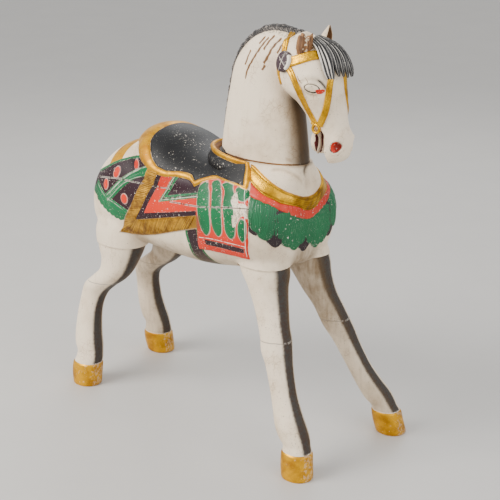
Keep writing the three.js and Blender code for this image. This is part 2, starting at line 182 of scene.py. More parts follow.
@dataclass
class Shell:
    """Faces being made, in the tables' millimetres."""

    points: np.ndarray
    faces: list[tuple[int, ...]]

    @classmethod
    def loft(cls, rings: np.ndarray, closed: bool = False) -> "Shell":
        """Joins rings of as many points each.

        Args:
            rings: Rings, points on each, and x, y, z.
            closed: Whether the last ring joins the first; otherwise both ends are capped.

        Returns:
            The closed shell.
        """
        count, sides = rings.shape[:2]
        faces = []
        for ring in range(count if closed else count - 1):
            base, above = ring * sides, ((ring + 1) % count) * sides
            for side in range(sides):
                turn = (side + 1) % sides
                faces.append((base + side, base + turn, above + turn, above + side))
        if not closed:
            faces.append(tuple(reversed(range(sides))))
            faces.append(tuple(range((count - 1) * sides, count * sides)))
        return cls(rings.reshape(-1, 3), faces)

    @classmethod
    def joined(cls, shells: Iterable["Shell"]) -> "Shell":
        """Several shells as one."""
        points, faces, start = [], [], 0
        for shell in shells:
            points.append(shell.points)
            faces += [tuple(corner + start for corner in face) for face in shell.faces]
            start += len(shell.points)
        return cls(np.concatenate(points), faces)

    @classmethod
    def ball(cls, centre: Sequence[float], radii: Sequence[float], around: int = 24,
             high: int = 14) -> "Shell":
        """An egg of small rings, its poles upright."""
        angles = np.linspace(0, 2 * math.pi, around, endpoint=False)
        rings = []
        for tilt in np.linspace(0.06, math.pi - 0.06, high):
            ring = np.stack([np.cos(angles) * math.sin(tilt), np.sin(angles) * math.sin(tilt)], axis=1)
            rings.append(np.column_stack([ring, np.full(around, math.cos(tilt))]))
        return cls.loft(np.array(rings) * np.array(radii) + np.array(centre))

    def piece(self, name: str, layers: dict[str, np.ndarray] | None = None) -> bpy.types.Object:
        """Makes the shell an object in the row's frame, in metres, faces out.

        Args:
            name: The piece's name.
            layers: A number for each point, by the name of its attribute.

        Returns:
            The object.
        """
        mesh = bpy.data.meshes.new(name)
        mesh.from_pydata((self.points + (TABLE_SHIFT, 0, 0)) * MM, [], self.faces)
        for label, values in (layers or {}).items():
            mesh.attributes.new(label, "FLOAT", "POINT").data.foreach_set("value", values.astype(np.float32))
        made = bmesh.new()
        made.from_mesh(mesh)
        bmesh.ops.remove_doubles(made, verts=made.verts, dist=1e-6)
        bmesh.ops.recalc_face_normals(made, faces=made.faces)
        made.to_mesh(mesh)
        made.free()
        mesh.polygons.foreach_set("use_smooth", [True] * len(mesh.polygons))
        piece = bpy.data.objects.new(name, mesh)
        bpy.context.scene.collection.objects.link(piece)
        return piece


def between_lines(
    stations: Sequence[Sequence[float]], sides: int, steps: int, squareness: float = 2.0, taper: float = 0.0,
    rest: int = 0,
) -> Shell:
    """A form alike on both sides, each section between two lines of the middle plane.

    Args:
        stations: Upper x and z, lower x and z, and half width.
        sides: Points round a section.
        steps: Sections from one station to the next.
        squareness: The section's squareness.
        taper: How much narrower the upper edge gets.
        rest: Sections at the start that don't taper.

    Returns:
        The lofted shell.
    """
    count = (len(stations) - 1) * steps
    rows = through(stations, np.linspace(0, len(stations) - 1, count + 1))
    across, along = bent(np.linspace(0, 2 * math.pi, sides, endpoint=False), squareness)
    share = (1 + along) / 2
    rings = []
    for step, (high_x, high_z, low_x, low_z, half) in enumerate(rows):
        grown = min(1.0, 3 * max(0, step - rest) / (count - rest))
        narrow = 1 - taper * np.maximum(0, along) * grown
        x = low_x + (high_x - low_x) * share
        z = low_z + (high_z - low_z) * share
        rings.append(np.stack([x, across * half * narrow, z], axis=1))
    return Shell.loft(np.array(rings))


def limb(
    stations: Sequence[Sequence[float]], hand: int, sides: int = 48, steps: int = 6, grow: float = 0.0
) -> Shell:
    """A limb of level sections, out from the middle on one hand."""
    rows = through(stations, np.linspace(0, len(stations) - 1, (len(stations) - 1) * steps + 1))
    return limb_of(rows, hand, sides, grow)


def limb_of(rows: np.ndarray, hand: int, sides: int, grow: float = 0.0) -> Shell:
    """Lofts level sections that are already close enough."""
    long, wide = bent(np.linspace(0, 2 * math.pi, sides, endpoint=False), LIMB_SQUARENESS)
    rings = [
        np.stack([x + long * (reach + grow), hand * y + wide * (half + grow), np.full(sides, z)], axis=1)
        for x, y, z, reach, half in rows
    ]
    return Shell.loft(np.array(rings))


def side_block(outline: Sequence[Sequence[float]], start: float, end: float) -> Shell:
    """A block with a side view's outline, from one distance off the middle plane to another."""
    rings = [[(x, y, z) for x, z in outline] for y in (start, end)]
    return Shell.loft(np.array(rings, float))


def settle(piece: bpy.types.Object) -> bpy.types.Object:
    """Makes what a piece's modifiers give its plain mesh, and takes them off."""
    bpy.context.view_layer.update()
    seen = piece.evaluated_get(bpy.context.evaluated_depsgraph_get())
    mesh = bpy.data.meshes.new_from_object(seen)
    piece.modifiers.clear()
    piece.data = mesh
    return piece


def fuse(piece: bpy.types.Object, voxel: float, soften: int, refine: int = 0) -> bpy.types.Object:
    """Fuses a piece's shells into one skin.

    Args:
        piece: The piece, its shells reaching into each other.
        voxel: The fineness in millimetres.
        soften: How many times the skin is eased, which rounds the inner corners.
        refine: Subdivisions afterwards.

    Returns:
        The piece with its new mesh.
    """
    remesh = piece.modifiers.new("fuse", "REMESH")
    remesh.mode, remesh.voxel_size, remesh.use_smooth_shade = "VOXEL", voxel * MM, True
    if soften:
        ease = piece.modifiers.new("ease", "SMOOTH")
        ease.factor, ease.iterations = 0.5, soften
    if refine:
        fine = piece.modifiers.new("refine", "SUBSURF")
        fine.levels = fine.render_levels = refine
    return settle(piece)


def cut(piece: bpy.types.Object, tools: Iterable[Shell]) -> bpy.types.Object:
    """Cuts some closed shells out of a piece."""
    for tool in tools:
        block = tool.piece("cutter")
        part = piece.modifiers.new("cut", "BOOLEAN")
        part.operation, part.solver, part.object = "DIFFERENCE", "MANIFOLD", block
        settle(piece)
        bpy.data.objects.remove(block)
    piece.data.polygons.foreach_set("use_smooth", [True] * len(piece.data.polygons))
    return piece


def table_points(mesh: bpy.types.Mesh) -> np.ndarray:
    """A mesh's points in the tables' millimetres."""
    flat = np.empty(len(mesh.vertices) * 3)
    mesh.vertices.foreach_get("co", flat)
    return flat.reshape(-1, 3) / MM - (TABLE_SHIFT, 0, 0)


def place_points(mesh: bpy.types.Mesh, points: np.ndarray) -> None:
    """Gives a mesh new points from the tables' millimetres."""
    mesh.vertices.foreach_set("co", ((points + (TABLE_SHIFT, 0, 0)) * MM).ravel())
    mesh.update()


def point_normals(mesh: bpy.types.Mesh) -> np.ndarray:
    """The mesh's normal at each point."""
    flat = np.empty(len(mesh.vertices) * 3)
    mesh.vertex_normals.foreach_get("vector", flat)
    return flat.reshape(-1, 3)


class View(Enum):
    """From where an outline is drawn on the wood."""

    SIDE = "side"
    CHEST = "chest"


@dataclass
class Skin:
    """The points of a carved surface, and what an outline needs to know of them."""

    points: np.ndarray
    normals: np.ndarray

    def seen(self, view: View) -> tuple[np.ndarray, np.ndarray, np.ndarray]:
        """The points on a view's sheet, and the two directions of that sheet in space."""
        x, y, z = self.points.T
        up = np.tile([0.0, 0.0, 1.0], (len(x), 1))
        if view is View.SIDE:
            return np.stack([x, z], axis=1), np.tile([1.0, 0.0, 0.0], (len(x), 1)), up
        angle = np.arctan2(y, x - CHEST_AXIS)
        turn = np.stack([-np.sin(angle), np.cos(angle), np.zeros(len(x))], axis=1)
        return np.stack([angle * CHEST_RADIUS, z], axis=1), turn, up

    def true_size(self, view: View, sheet_direction: np.ndarray) -> np.ndarray:
        """How much a step on the sheet shrinks against the same step on the wood."""
        _, first, second = self.seen(view)
        direction = sheet_direction[:, :1] * first + sheet_direction[:, 1:] * second
        slope = np.einsum("ij,ij->i", direction, self.normals)
        return np.sqrt(np.clip(1 - slope**2, 0.12, 1.0))


@dataclass(frozen=True)
class Outline:
    """A closed outline drawn on the wood from the side, or round the chest in degrees and heights."""

    points: tuple[tuple[float, float], ...]
    view: View = View.SIDE
    curved: bool = False

    def sheet(self) -> np.ndarray:
        """The outline's corners on its sheet."""
        points = np.array(self.points, float)
        if self.view is View.CHEST:
            points[:, 0] = np.radians(points[:, 0]) * CHEST_RADIUS
        if not self.curved:
            return points
        ring = np.vstack([points[-1:], points, points[:2]])
        return through(ring, np.arange(1, len(points) + 1, 0.2))

    def depth(self, skin: Skin) -> np.ndarray:
        """How far inside the outline each point of a skin lies, in millimetres on the wood."""
        seen, _, _ = skin.seen(self.view)
        corners = self.sheet()
        nearest = np.full(len(seen), 1e9)
        toward = np.zeros_like(seen)
        inside = np.zeros(len(seen), bool)
        for start, end in zip(corners, np.roll(corners, -1, axis=0)):
            gap, offset = line_gap(seen, start, end)
            closer = gap < nearest
            nearest[closer], toward[closer] = gap[closer], offset[closer]
            rises = (start[1] > seen[:, 1]) != (end[1] > seen[:, 1])
            if rises.any():
                slope = (end[0] - start[0]) / (end[1] - start[1])
                inside ^= rises & (seen[:, 0] < start[0] + (seen[:, 1] - start[1]) * slope)
        direction = toward / np.maximum(nearest, 1e-6)[:, None]
        return np.where(inside, 1, -1) * nearest / skin.true_size(self.view, direction)


@dataclass(frozen=True)
class Stroke:
    """An open line drawn on the wood."""

    points: tuple[tuple[float, float], ...]
    view: View = View.SIDE
    curved: bool = True

    def gap(self, skin: Skin) -> tuple[np.ndarray, np.ndarray]:
        """How far each point lies to the line's left on the wood, and how far inside its two ends."""
        seen, _, _ = skin.seen(self.view)
        points = np.array(self.points, float)
        if self.view is View.CHEST:
            points[:, 0] = np.radians(points[:, 0]) * CHEST_RADIUS
        line = evenly(points, 12.0, self.curved)
        nearest = np.full(len(seen), 1e9)
        side, within, walked = np.zeros(len(seen)), np.zeros(len(seen)), 0.0
        toward = np.zeros_like(seen)
        total = np.linalg.norm(np.diff(line, axis=0), axis=1).sum()
        for start, end in zip(line[:-1], line[1:]):
            gap, offset = line_gap(seen, start, end)
            closer = gap < nearest
            run = (end - start) / np.linalg.norm(end - start)
            along = walked + (seen - start) @ run
            across = (seen[:, 1] - start[1]) * run[0] - (seen[:, 0] - start[0]) * run[1]
            nearest[closer], side[closer] = gap[closer], across[closer]
            toward[closer] = (-run[1], run[0])
            within[closer] = np.minimum(along, total - along)[closer]
            walked += np.linalg.norm(end - start)
        return side / skin.true_size(self.view, toward), within


def line_gap(seen: np.ndarray, start: np.ndarray, end: np.ndarray) -> tuple[np.ndarray, np.ndarray]:
    """Distance and offset of points from one straight piece of a line."""
    run = end - start
    share = np.clip(((seen - start) @ run) / max(run @ run, 1e-9), 0, 1)
    offset = seen - (start + share[:, None] * run)
    return np.linalg.norm(offset, axis=1), offset


def oval(centre: tuple[float, float], radii: tuple[float, float], lean: float = 0.0) -> Outline:
    """An oval on the side of the horse, leaning by some degrees."""
    angles = np.linspace(0, 2 * math.pi, 20, endpoint=False)
    turn = math.radians(lean)
    x, z = radii[0] * np.cos(angles), radii[1] * np.sin(angles)
    points = zip(
        centre[0] + x * math.cos(turn) - z * math.sin(turn),
        centre[1] + x * math.sin(turn) + z * math.cos(turn),
    )
    return Outline(tuple((float(a), float(b)) for a, b in points))


class Coat(Enum):
    """The paints on the horse, in the order in which they were laid on."""

    GOLD = "gold"
    AUBERGINE = "aubergine"
    GREEN = "green"
    RED = "red"
    BLACK = "black"
    MAROON = "maroon"
    WOOD = "wood"


FAR = 60.0


@dataclass
class Painting:
    """What the brush left on a skin: how far each point lies inside each coat, its ageing and its painted
    shade.
    """

    skin: Skin
    coats: dict[Coat, np.ndarray] = field(default_factory=dict)
    marks: dict[str, np.ndarray] = field(default_factory=dict)

    def __post_init__(self) -> None:
        """Starts with bare cream everywhere."""
        count = len(self.skin.points)
        self.coats = {coat: np.full(count, -FAR) for coat in Coat}
        self.marks = {name: np.zeros(count) for name in ("shade", "wear", "stain_and_shade", "trim")}
        self.marks |= {name: np.full(count, FAR) for name in ("seam", "line")}
        self.marks |= {name: np.zeros(count) for name in ("seam_strength", "line_strength")}

    def lay(self, coat: Coat | None, depth: np.ndarray) -> None:
        """Lays a coat where depth is over 0, over what was there; None is the cream again."""
        for other, reach in self.coats.items():
            self.coats[other] = np.maximum(reach, depth) if other is coat else np.minimum(reach, -depth)

    def mark(self, name: str, amount: np.ndarray) -> None:
        """Adds to a mark: the shade, the wear, the brown of stains and painted shade, or the pale trim."""
        self.marks[name] = np.maximum(self.marks[name], amount)

    def draw(self, name: str, stroke: Stroke, where: np.ndarray | float = 1.0) -> None:
        """Draws a seam or a thin line where it lies nearer than the ones before it."""
        side, within = stroke.gap(self.skin)
        self.note(name, side, smooth(-2, 2, within) * where)

    def note(self, name: str, side: np.ndarray, strength: np.ndarray) -> None:
        """Keeps a seam's or a thin line's distance where it lies nearer than the ones before it."""
        reach = abs(side) + 200 * (1 - strength)
        before = abs(self.marks[name]) + 200 * (1 - self.marks[f"{name}_strength"])
        nearer = reach < before
        self.marks[name] = np.where(nearer, np.clip(side, -FAR, FAR), self.marks[name])
        self.marks[f"{name}_strength"] = np.where(nearer, strength, self.marks[f"{name}_strength"])

    def layers(self) -> dict[str, np.ndarray]:
        """Everything by the name of its attribute."""
        named = {f"{coat.value}_mm": np.clip(depth, -FAR, FAR) for coat, depth in self.coats.items()}
        return named | self.marks

    def keep(self, mesh: bpy.types.Mesh) -> None:
        """Writes the painting onto a mesh, each of its points taking the nearest of the skin's."""
        points = table_points(mesh)
        order = np.arange(len(points))
        if len(points) != len(self.skin.points) or not np.allclose(points, self.skin.points, atol=0.01):
            tree = kdtree.KDTree(len(self.skin.points))
            for at, point in enumerate(self.skin.points):
                tree.insert(point, at)
            tree.balance()
            order = np.array([tree.find(point)[1] for point in points])
        for name, values in self.layers().items():
            layer = mesh.attributes.new(name, "FLOAT", "POINT")
            layer.data.foreach_set("value", values[order].astype(np.float32))


class Carved:
    """A finished surface that other pieces are laid on."""

    def __init__(self, *pieces: bpy.types.Object) -> None:
        """Reads the pieces' faces once."""
        points, faces = [], []
        for piece in pieces:
            start = sum(map(len, points))
            points.append(table_points(piece.data))
            faces += [tuple(corner + start for corner in face.vertices) for face in piece.data.polygons]
        self.tree = BVHTree.FromPolygons(np.concatenate(points).tolist(), faces)

    def cast(self, start: Sequence[float], direction: Sequence[float]) -> tuple[np.ndarray, np.ndarray]:
        """The first point that a ray meets, and the normal there."""
        place, normal, _, _ = self.tree.ray_cast(Vector(start), Vector(direction))
        if place is None:
            place, normal, _, _ = self.tree.find_nearest(Vector(start) + Vector(direction) * 300)
        return np.array(place), np.array(normal)

    def from_side(self, x: float, z: float, hand: int) -> tuple[np.ndarray, np.ndarray]:
        """The point that a side view shows at x and z."""
        return self.cast((x, hand * 400, z), (0, -hand, 0))

    def from_chest(self, degrees: float, z: float) -> tuple[np.ndarray, np.ndarray]:
        """The point at an angle round the chest and a height."""
        out = np.array([math.cos(math.radians(degrees)), math.sin(math.radians(degrees)), 0.0])
        return self.cast(np.array([CHEST_AXIS, 0, z]) + out * 350, -out)

    def nearest(self, point: Sequence[float]) -> tuple[np.ndarray, np.ndarray]:
        """The surface's point nearest to one in space."""
        place, normal, _, _ = self.tree.find_nearest(Vector(point))
        return np.array(place), np.array(normal)

    def trail(self, points: Sequence[Sequence[float]], lift: float = 0.0, step: float = 4.0) -> "Trail":
        """Lays a smooth path through points in space on the nearest wood.

        Args:
            points: Where the path goes.
            lift: How far over the wood it lies.
            step: How far apart its points are.

        Returns:
            The path.
        """
        found = [self.nearest(point) for point in evenly(points, step)]
        facing = eased(np.array([normal for _, normal in found]))
        return Trail(np.array([place for place, _ in found]) + facing * lift, facing)


def eased(directions: np.ndarray, turns: int = 3) -> np.ndarray:
    """Evens out directions along a path."""
    for _ in range(turns):
        padded = np.vstack([directions[:1], directions, directions[-1:]])
        directions = padded[:-2] + 2 * directions + padded[2:]
        directions /= np.linalg.norm(directions, axis=1, keepdims=True)
    return directions


@dataclass
class Trail:
    """A path, with the way out of the wood and a share of the full width at each point."""

    points: np.ndarray
    facing: np.ndarray
    width: np.ndarray | None = None
    closed: bool = False


def trails_piece(name: str, trails: Sequence[Trail]) -> bpy.types.Object:
    """Some paths as one mesh of edges, ready to be swept."""
    points, edges, start = [], [], 0
    for trail in trails:
        count = len(trail.points)
        points.append(trail.points)
        edges += [(start + at, start + at + 1) for at in range(count - 1)]
        if trail.closed:
            edges.append((start + count - 1, start))
        start += count
    mesh = bpy.data.meshes.new(name)
    mesh.from_pydata((np.concatenate(points) + (TABLE_SHIFT, 0, 0)) * MM, edges, [])
    facing = np.concatenate([trail.facing for trail in trails]).astype(np.float32)
    mesh.attributes.new("facing", "FLOAT_VECTOR", "POINT").data.foreach_set("vector", facing.ravel())
    width = [np.ones(len(trail.points)) if trail.width is None else trail.width for trail in trails]
    widths = np.concatenate(width).astype(np.float32)
    mesh.attributes.new("width", "FLOAT", "POINT").data.foreach_set("value", widths)
    piece = bpy.data.objects.new(name, mesh)
    bpy.context.scene.collection.objects.link(piece)
    return piece


Socket = bpy.types.NodeSocket
Value = float | tuple[float, ...] | Socket


class Wiring:
    """Places the nodes of one tree and joins them."""

    def __init__(self, tree: bpy.types.NodeTree) -> None:
        """Starts on a tree, which may hold nodes already."""
        self.tree = tree

    def add(self, kind: str, inputs: dict[str | int, Value] | None = None,
            **settings: object) -> bpy.types.Node:
        """Adds a node.

        Args:
            kind: The node's type.
            inputs: A value, or a socket to join, for each input's name or place.
            settings: The node's own properties.

        Returns:
            The node.
        """
        node = self.tree.nodes.new(kind)
        for name, setting in settings.items():
            setattr(node, name, setting)
        for name, value in (inputs or {}).items():
            self.put(node.inputs[name], value)
        return node

    def put(self, socket: Socket, value: Value) -> None:
        """Joins a socket to another, or gives it a plain value."""
        if isinstance(value, bpy.types.NodeSocket):
            self.tree.links.new(value, socket)
        elif isinstance(value, tuple) and len(value) == 3 and socket.type == "RGBA":
            socket.default_value = (*value, 1.0)
        else:
            socket.default_value = value

    def math(self, operation: str, first: Value, second: Value = 0.0) -> Socket:
        """One sum of two values."""
        return self.add("ShaderNodeMath", {0: first, 1: second}, operation=operation).outputs[0]

    def mix(self, share: Value, first: Value, second: Value) -> Socket:
        """A colour between two."""
        node = self.add("ShaderNodeMix", data_type="RGBA")
        for place, value in ((0, share), (6, first), (7, second)):
            self.put(node.inputs[place], value)
        return node.outputs[2]

    def blend(self, share: Value, first: Value, second: Value) -> Socket:
        """A value between two."""
        return self.add("ShaderNodeMix", {0: share, 2: first, 3: second}, data_type="FLOAT").outputs[0]

    def step(self, value: Value, low: float, high: float, start: float = 0.0, end: float = 1.0) -> Socket:
        """A soft step from start at low to end at high."""
        return self.add(
            "ShaderNodeMapRange",
            {0: value, 1: low, 2: high, 3: start, 4: end},
            interpolation_type="SMOOTHSTEP",
        ).outputs[0]

    def noise(self, vector: Value, scale: float, detail: float = 2.0, stretch: tuple | None = None) -> Socket:
        """Cloudy noise, drawn out along an axis where stretch says so."""
        if stretch is not None:
            vector = self.add("ShaderNodeMapping", {"Vector": vector, "Scale": stretch}).outputs[0]
        inputs = {"Vector": vector, "Scale": scale, "Detail": detail, "Roughness": 0.6}
        return self.add("ShaderNodeTexNoise", inputs).outputs[0]

    def layer(self, name: str) -> Socket:
        """The number that a mesh's points carry by this name."""
        return self.add("ShaderNodeAttribute", attribute_name=name, attribute_type="GEOMETRY").outputs["Fac"]


def shader_group(
    name: str, inputs: dict[str, tuple[str, Value]], outputs: dict[str, str],
    wire: Callable[[Wiring, bpy.types.NodeSocket, dict[str, Socket]], dict[str, Socket]],
) -> bpy.types.NodeTree:
    """Builds a shader node group once.

    Args:
        name: The group's name.
        inputs: Kind and default of each named input.
        outputs: Kind of each named output.
        wire: Makes the outputs' sockets from the inputs'.

    Returns:
        The group, the same one each time.
    """
    if name in bpy.data.node_groups:
        return bpy.data.node_groups[name]
    tree = bpy.data.node_groups.new(name, "ShaderNodeTree")
    kinds = {"value": "NodeSocketFloat", "colour": "NodeSocketColor", "vector": "NodeSocketVector"}
    for label, (kind, default) in inputs.items():
        socket = tree.interface.new_socket(label, in_out="INPUT", socket_type=kinds[kind])
        if kind == "colour":
            socket.default_value = (*default, 1.0)
        elif kind == "value":
            socket.default_value = default
    for label, kind in outputs.items():
        tree.interface.new_socket(label, in_out="OUTPUT", socket_type=kinds[kind])
    wiring = Wiring(tree)
    start, end = wiring.add("NodeGroupInput"), wiring.add("NodeGroupOutput")
    made = wire(wiring, {label: start.outputs[label] for label in inputs})
    for label in outputs:
        wiring.put(end.inputs[label], made[label])
    return tree


def weathering() -> bpy.types.NodeTree:
    """The masks of old paint: flakes gone, small specks, fine crackle, clouds of tone and brush marks."""

    def wire(wiring: Wiring, given: dict[str, Socket]) -> dict[str, Socket]:
        """Wires the group's inside."""
        place, wear = given["Vector"], given["Wear"]
        warp = wiring.noise(place, 40.0, 2.0)
        drift = wiring.add("ShaderNodeVectorMath", {0: place, 1: wiring.math("MULTIPLY", warp, 0.01)},
                           operation="ADD")
        flake = wiring.noise(drift.outputs[0], 120.0, 4.0)
        patch = wiring.noise(place, 9.0, 2.0)
        worn = wiring.math("ADD", wiring.math("MULTIPLY", wear, 0.3), wiring.math("MULTIPLY", patch, 0.22))
        flakes = wiring.step(wiring.math("ADD", flake, worn), 0.80, 0.825)
        speck = wiring.noise(drift.outputs[0], 330.0, 2.0)
        more = wiring.math("ADD", wiring.math("MULTIPLY", wear, 0.18), wiring.math("MULTIPLY", patch, 0.16))
        specks = wiring.step(wiring.math("ADD", speck, more), 0.795, 0.82)
        cells = wiring.add(
            "ShaderNodeTexVoronoi", {"Vector": drift.outputs[0], "Scale": 70.0}, feature="DISTANCE_TO_EDGE"
        )
        crackle = wiring.step(cells.outputs["Distance"], 0.015, 0.05, 1.0, 0.0)
        crackle = wiring.math("MULTIPLY", crackle, wiring.step(wiring.noise(place, 14.0), 0.5, 0.68))
        return {
            "Flakes": flakes,
            "Specks": specks,
            "Crackle": crackle,
            "Clouds": wiring.noise(place, 7.0, 4.0),
            "Brush": wiring.noise(place, 90.0, 3.0, (1.0, 1.0, 0.12)),
        }

    return shader_group(
        "old_paint_weathering",
        {"Vector": ("vector", 0), "Wear": ("value", 0.0)},
        {name: "value" for name in ("Flakes", "Specks", "Crackle", "Clouds", "Brush")},
        wire,
    )


def brushed_edge() -> bpy.types.NodeTree:
    """A painted shape's mask from the depth inside it, its edge a little unsteady as a hand leaves it."""

    def wire(wiring: Wiring, given: dict[str, Socket]) -> dict[str, Socket]:
        """Wires the group's inside."""
        sway = wiring.math("SUBTRACT", wiring.noise(given["Vector"], 85.0, 2.0), 0.5)
        depth = wiring.math("ADD", given["Depth"], wiring.math("MULTIPLY", sway, given["Wobble"]))
        rim = wiring.math("ABSOLUTE", wiring.math("ADD", depth, 0.9))
        return {"Mask": wiring.step(depth, -0.45, 0.45), "Edge": wiring.step(rim, 0.6, 1.3, 1.0, 0.0)}

    return shader_group(
        "hand_brushed_edge",
        {"Vector": ("vector", 0), "Depth": ("value", 0.0), "Wobble": ("value", 2.0)},
        {"Mask": "value", "Edge": "value"},
        wire,
    )


def worn_gold() -> bpy.types.NodeTree:
    """Gold that has dulled unevenly: its colour and roughness."""

    def wire(wiring: Wiring, given: dict[str, Socket]) -> dict[str, Socket]:
        """Wires the group's inside."""
        place = given["Vector"]
        smear = wiring.noise(place, 26.0, 5.0)
        dull = wiring.step(smear, 0.36, 0.66)
        dull = wiring.math("MULTIPLY", dull, given["Patina"])
        fine = wiring.step(wiring.noise(place, 210.0, 3.0), 0.3, 0.75)
        colour = wiring.mix(dull, given["Bright"], given["Dull"])
        colour = wiring.mix(wiring.math("MULTIPLY", fine, 0.22), colour, given["Dull"])
        rough = wiring.math("ADD", given["Roughness"], wiring.math("MULTIPLY", dull, 0.16))
        return {"Colour": colour, "Roughness": rough, "Height": fine}

    return shader_group(
        "worn_gold",
        {
            "Vector": ("vector", 0), "Bright": ("colour", (0.8, 0.5, 0.1)),
            "Dull": ("colour", (0.4, 0.2, 0.02)),
            "Patina": ("value", 1.0), "Roughness": ("value", 0.3),
        },
        {"Colour": "colour", "Roughness": "value", "Height": "value"},
        wire,
    )


def wood_grain() -> bpy.types.NodeTree:
    """Bare old timber with its grain running upright: colour and height."""

    def wire(wiring: Wiring, given: dict[str, Socket]) -> dict[str, Socket]:
        """Wires the group's inside."""
        broad = wiring.noise(given["Vector"], 60.0, 4.0, (1.0, 1.0, 0.1))
        fine = wiring.noise(given["Vector"], 260.0, 2.0, (1.0, 1.0, 0.06))
        grain = wiring.step(wiring.math("ADD", broad, wiring.math("MULTIPLY", fine, 0.5)), 0.55, 0.95)
        return {"Colour": wiring.mix(grain, given["Light"], given["Dark"]), "Height": grain}

    return shader_group(
        "bare_timber",
        {"Vector": ("vector", 0), "Light": ("colour", (0.3, 0.14, 0.05)),
         "Dark": ("colour", (0.08, 0.03, 0.01))},
        {"Colour": "colour", "Height": "value"},
        wire,
    )


def geometry_tree(
    name: str, inputs: dict[str, str], wire: Callable[[Wiring, dict[str, Socket]], Socket]
) -> bpy.types.NodeTree:
    """Builds a geometry node tree once.

    Args:
        name: The tree's name.
        inputs: Kind of each named input after the geometry.
        wire: Makes the geometry from the inputs' sockets.

    Returns:
        The tree, the same one each time.
    """
    if name in bpy.data.node_groups:
        return bpy.data.node_groups[name]
    tree = bpy.data.node_groups.new(name, "GeometryNodeTree")
    kinds = {"value": "NodeSocketFloat", "count": "NodeSocketInt", "finish": "NodeSocketMaterial"}
    tree.interface.new_socket("Geometry", in_out="INPUT", socket_type="NodeSocketGeometry")
    for label, kind in inputs.items():
        tree.interface.new_socket(label, in_out="INPUT", socket_type=kinds[kind])
    tree.interface.new_socket("Geometry", in_out="OUTPUT", socket_type="NodeSocketGeometry")
    wiring = Wiring(tree)
    start, end = wiring.add("NodeGroupInput"), wiring.add("NodeGroupOutput")
    given = {label: start.outputs[label] for label in ("Geometry", *inputs)}
    made = wire(wiring, given)
    shaded = wiring.add("GeometryNodeSetShadeSmooth", {"Geometry": made}).outputs[0]
    real = wiring.add("GeometryNodeRealizeInstances", {"Geometry": shaded}).outputs[0]
    dressed = wiring.add("GeometryNodeSetMaterial",
                         {"Geometry": real, "Material": given["Finish"]}).outputs[0]
    wiring.put(end.inputs["Geometry"], dressed)
    return tree


def named(wiring: Wiring, name: str, kind: str = "FLOAT") -> Socket:
    """A point attribute inside a geometry node tree."""
    return wiring.add("GeometryNodeInputNamedAttribute", {"Name": name}, data_type=kind).outputs[0]


def carved_band() -> bpy.types.NodeTree:
    """Sweeps a domed band along paths that carry which way is out and how wide they are."""

    def wire(wiring: Wiring, given: dict[str, Socket]) -> Socket:
        """Wires the tree's inside."""
        path = wiring.add("GeometryNodeMeshToCurve", {0: given["Geometry"]}).outputs[0]
        turned = wiring.add(
            "GeometryNodeSetCurveNormal", {"Curve": path, "Normal": named(wiring, "facing", "FLOAT_VECTOR")},
            mode="FREE"
        ).outputs[0]
        ring = wiring.add("GeometryNodeCurvePrimitiveCircle", {"Resolution": given["Corners"], "Radius": 1.0})
        parts = wiring.add(
            "ShaderNodeSeparateXYZ", {0: wiring.add("GeometryNodeInputPosition").outputs[0]}
        ).outputs
        middle = wiring.math("SUBTRACT", 1.0, wiring.math("MULTIPLY", parts[1], parts[1]))
        dip = wiring.math("MULTIPLY", wiring.math("POWER", middle, 4.0), given["Groove"])
        out = wiring.math("MULTIPLY", parts[0], wiring.math("SUBTRACT", 1.0, dip))
        section = wiring.add("ShaderNodeCombineXYZ", {
            0: wiring.math("MULTIPLY", out, given["Thickness"]),
            1: wiring.math("MULTIPLY", parts[1], given["Half Width"]),
        }).outputs[0]
        shaped = wiring.add("GeometryNodeSetPosition",
                            {"Geometry": ring.outputs[0], "Position": section}).outputs[0]
        swept = wiring.add("GeometryNodeCurveToMesh", {
            "Curve": turned, "Profile Curve": shaped, "Scale": named(wiring, "width"), "Fill Caps": True,
        })
        return swept.outputs[0]

    inputs = {
        "Half Width": "value", "Thickness": "value", "Groove": "value", "Corners": "count",
        "Finish": "finish",
    }
    return geometry_tree("carved_band", inputs, wire)


def carved_threads() -> bpy.types.NodeTree:
    """Sets a slim thread on each point, along its direction and as long as the point says."""

    def wire(wiring: Wiring, given: dict[str, Socket]) -> Socket:
        """Wires the tree's inside."""
        points = wiring.add("GeometryNodeMeshToPoints", {"Mesh": given["Geometry"]}).outputs[0]
        thread = wiring.add("GeometryNodeMeshUVSphere", {"Segments": 8, "Rings": 8, "Radius": 1.0}).outputs[0]
        turn = wiring.add("FunctionNodeAxesToRotation", {
            0: named(wiring, "direction", "FLOAT_VECTOR"), 1: named(wiring, "facing", "FLOAT_VECTOR"),
        }, primary_axis="Z", secondary_axis="X").outputs[0]
        chance = wiring.add("FunctionNodeRandomValue", {2: 0.8, 3: 1.15, "Seed": given["Seed"]},
                            data_type="FLOAT")
        thick = wiring.math("MULTIPLY", given["Thickness"], chance.outputs[1])
        size = wiring.add("ShaderNodeCombineXYZ", {0: thick, 1: thick, 2: named(wiring, "reach")}).outputs[0]
        set_out = wiring.add("GeometryNodeInstanceOnPoints", {
            "Points": points, "Instance": thread, "Rotation": turn, "Scale": size,
        }).outputs[0]
        tone = wiring.add("FunctionNodeRandomValue", {2: 0.0, 3: 0.8, "Seed": given["Seed"]},
                          data_type="FLOAT")
        kept = wiring.add("GeometryNodeStoreNamedAttribute", {
            "Geometry": set_out, "Name": "hollow", "Value": tone.outputs[1],
        }, data_type="FLOAT", domain="INSTANCE")
        return kept.outputs[0]

    return geometry_tree("carved_threads", {"Thickness": "value", "Seed": "count", "Finish": "finish"}, wire)


